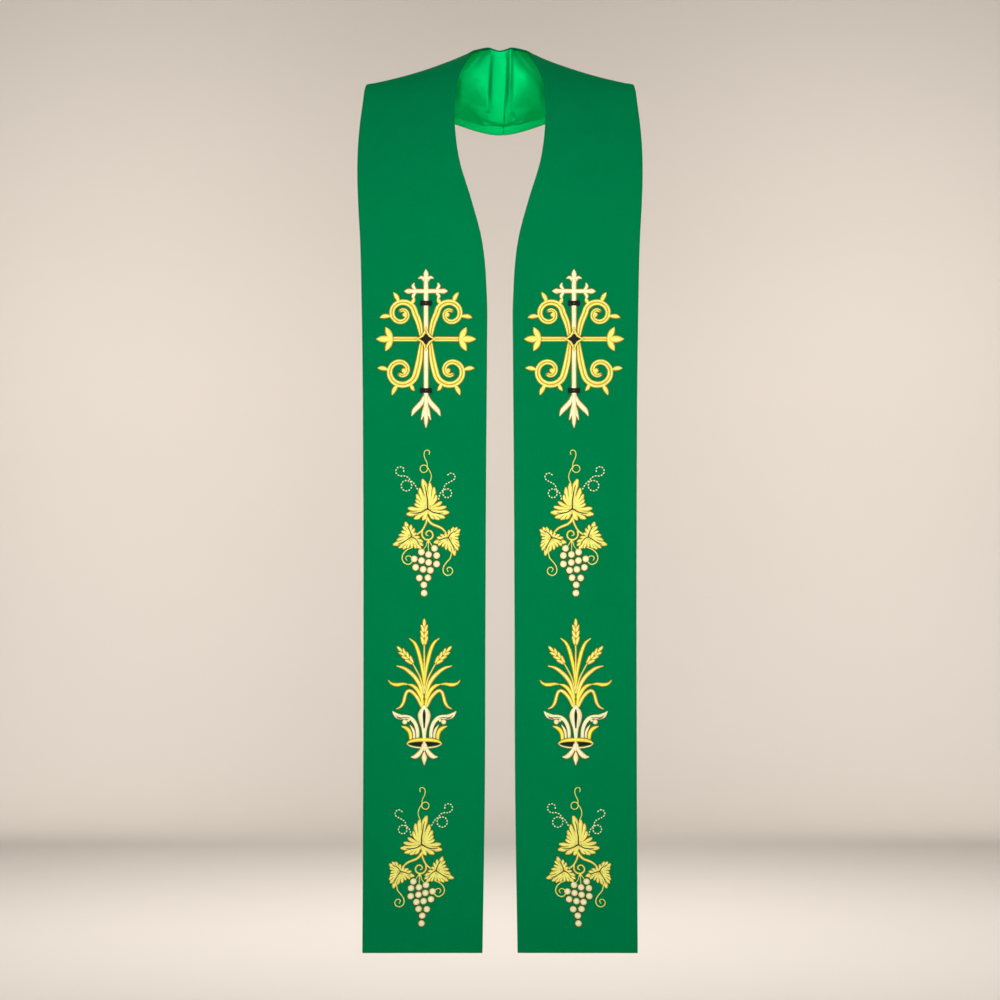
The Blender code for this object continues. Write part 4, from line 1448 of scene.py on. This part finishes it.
emblems = {
    # node: drawing, x and z of its middle point, 1 or -1 for mirrored, its size, and below the middle
    # its height and how far it leans
    "cross": (drawCross, 97.5, -378, 1, (1.0, 1.0, 0.0)),
    "upper_vine": (drawVine, 95.5, -602, -1, (1.0, 1.0, 0.0)),
    "wheat": (drawWheat, 99.8, -910, 1, (1.0, 1.0, 0.0)),
    "lower_vine": (drawVine, 103.0, -1044.3, 1, (0.97, 0.935, -0.043)),
}
emblemsFrom = 300  # the distance along at which they may begin
alongTable = np.linspace(emblemsFrom, hemAt, 240)
depthTable = sectionAt(alongTable)[:, 2]


def onBand(side, x, z, height):  # a point of the front, from its place in x and z
    along = np.interp(-z, -depthTable, alongTable)
    row = sectionAt(along)
    across = (x - row[:, 0]) / (row[:, 3] - row[:, 0])
    points = bandPoints(side, across, along, height)
    return points * (side, 1, 1)


def flatMeshes(draw):
    work = newWork()
    draw(work)
    made = {}
    for thread, (shape, *_) in work.items():
        if len(shape.verts):
            bmesh.ops.recalc_face_normals(shape, faces=shape.faces)
            made[thread] = meshOf("flat", shape)
        else:
            shape.free()
    return made


def layOn(name, flat, side, x, z, flip, fit, material):
    mesh = flat.copy()
    mesh.name = name
    points = np.empty(len(mesh.vertices) * 3, np.float32)
    mesh.vertices.foreach_get("co", points)
    points = points.reshape(-1, 3).astype(float)
    size, low, lean = fit
    below = np.minimum(points[:, 2], 0)
    sideways = points[:, 0] * size + below * lean
    upwards = np.maximum(points[:, 2], 0) * size + below * low
    placed = onBand(side, x + flip * sideways, z + upwards, -points[:, 1]) * mm
    mesh.vertices.foreach_set("co", placed.astype(np.float32).ravel())
    if side * flip < 0:
        mesh.flip_normals()
    return newPiece(name, mesh, material)


drawn = {}
for node, (draw, *place) in emblems.items():
    if draw not in drawn:
        drawn[draw] = flatMeshes(draw)
    first, *others = node.split("_")
    label = first + "".join(word.title() for word in others)
    for sideName, side in sides.items():
        for thread, flat in drawn[draw].items():
            name = f"{label}{thread.title()}{sideName.title()}"
            piece = layOn(name, flat, side, *place, materials[thread])
            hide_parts(f"{node}_{sideName}")
            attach(piece, "root")
            pieces[sideName]["trims"].append(piece)
print("embroidery laid:", sum(len(side["trims"]) for side in pieces.values()), "pieces")
for flats in drawn.values():
    for flat in flats.values():
        bpy.data.meshes.remove(flat)

studio = {
    "floorZ": -1.52,
    "wallY": 6.0,
    "halfWidth": 9.0,
    "nearY": -9.0,
    "wallTop": 5.5,
    "sweep": 1.3,
    "world": (1.0, 0.985, 0.965),
    "worldStrength": 0.17,
    "cameraY": -4.09,
    "cameraZ": -0.590,
    "lens": 109.3,
    "sensor": 36,
    "farthest": 60,
}
paperLook = {
    "colour": (0.80, 0.725, 0.645),
    "roughness": 0.9,
    "specular": 0.1,
    "cloudSize": 1.4,
    "cloudDepth": 0.03,
    "threadDepth": 0.0,
}
lights = (
    # name, place, aimed at, width, height, watts, spread of its beam
    ("keyLeft", (-0.52, -1.42, -0.13), (0, 0, -0.30), 0.8, 0.8, 8.6, 180),
    ("keyRight", (0.52, -1.42, -0.17), (0, 0, -0.30), 0.8, 0.8, 7.1, 180),
    ("low", (0, -1.15, -1.30), (0, 0.1, -0.05), 0.6, 0.5, 1.4, 90),
    ("foot", (0, -1.42, -1.25), (0, 0, -1.07), 0.65, 0.3, 2.3, 180),
    ("top", (0, -0.7, 1.2), (0, 0, 0), 0.8, 0.8, 6.6, 180),
    ("back", (0.0, 2.4, 1.5), (0, 0, -0.2), 1.6, 1.2, 17, 180),
    ("wallLeft", (-1.4, 4.2, 0.1), (-1.4, 6, 0.0), 1.0, 1.4, 22, 180),
    ("wallRight", (1.4, 4.2, 0.1), (1.4, 6, 0.0), 1.0, 1.4, 22, 180),
    ("floorGlow", (0.0, 2.5, 0.3), (0, 2.5, -1.5), 3.4, 2.0, 45, 180),
)


def makeFloor():
    shape = bmesh.new()
    bmesh.ops.create_grid(shape, x_segments=1, y_segments=1, size=1.0)
    for vertex in shape.verts:
        vertex.co.x *= studio["halfWidth"]
        vertex.co.y = studio["nearY"] if vertex.co.y < 0 else studio["wallY"]
        vertex.co.z = studio["floorZ"]
    far = [edge for edge in shape.edges if all(vertex.co.y > 0 for vertex in edge.verts)]
    raised = bmesh.ops.extrude_edge_only(shape, edges=far)["geom"]
    top = [part for part in raised if isinstance(part, bmesh.types.BMVert)]
    bmesh.ops.translate(shape, verts=top, vec=(0, 0, studio["wallTop"] - studio["floorZ"]))
    bend = [edge for edge in shape.edges if edge.calc_face_angle(0) > 0.5]
    bmesh.ops.bevel(
        shape, geom=bend, offset=studio["sweep"], segments=16, affect="EDGES", profile=0.5, material=-1
    )
    material, tree, shader = newMaterial("palePaper", paperLook)
    place = tree.nodes.new("ShaderNodeTexCoord").outputs["Object"]
    dyed(tree, shader, paperLook, (*paperLook["colour"], 1), place, 0.5)
    floor = newPiece("paleFloor", meshOf("paleFloor", shape), material)


def makeLights():
    for name, place, aim, width, height, watts, spread in lights:
        lamp = bpy.data.lights.new(name, "AREA")
        lamp.shape = "RECTANGLE"
        lamp.size = width
        lamp.size_y = height
        lamp.energy = watts
        lamp.spread = math.radians(spread)
        holder = bpy.data.objects.new(name, lamp)
        holder.visible_camera = False
        bpy.context.scene.collection.objects.link(holder)
        x, y, z = np.subtract(aim, place)
        holder.location = place
        holder.rotation_euler = (math.atan2(math.hypot(x, y), -z), 0, math.atan2(-x, y))
    world = bpy.data.worlds.new("studio")
    world.use_nodes = True
    sky = world.node_tree.nodes["Background"]
    sky.inputs["Color"].default_value = (*studio["world"], 1)
    sky.inputs["Strength"].default_value = studio["worldStrength"]
    bpy.context.scene.world = world


def makeCamera():
    camera = bpy.data.cameras.new("camera")
    camera.lens = studio["lens"]
    camera.sensor_width = studio["sensor"]
    camera.clip_end = studio["farthest"]
    holder = bpy.data.objects.new("camera", camera)
    bpy.context.scene.collection.objects.link(holder)
    holder.location = (0, studio["cameraY"], studio["cameraZ"])
    holder.rotation_euler = (math.pi / 2, 0, 0)
    bpy.context.scene.camera = holder
    bpy.context.scene.view_settings.view_transform = "Standard"


makeFloor()
makeLights()
makeCamera()
print("studio made")

bpy.context.view_layer.update()
counts = {}
for item in bpy.context.scene.objects:
    if item.type == "MESH" and item.name not in frame["nodes"]:
        mesh = item.evaluated_get(bpy.context.evaluated_depsgraph_get()).data
        mesh.calc_loop_triangles()
        counts[item.name] = len(mesh.loop_triangles)
print("triangles:", sum(counts.values()), "most in one piece:", max(counts.values()))
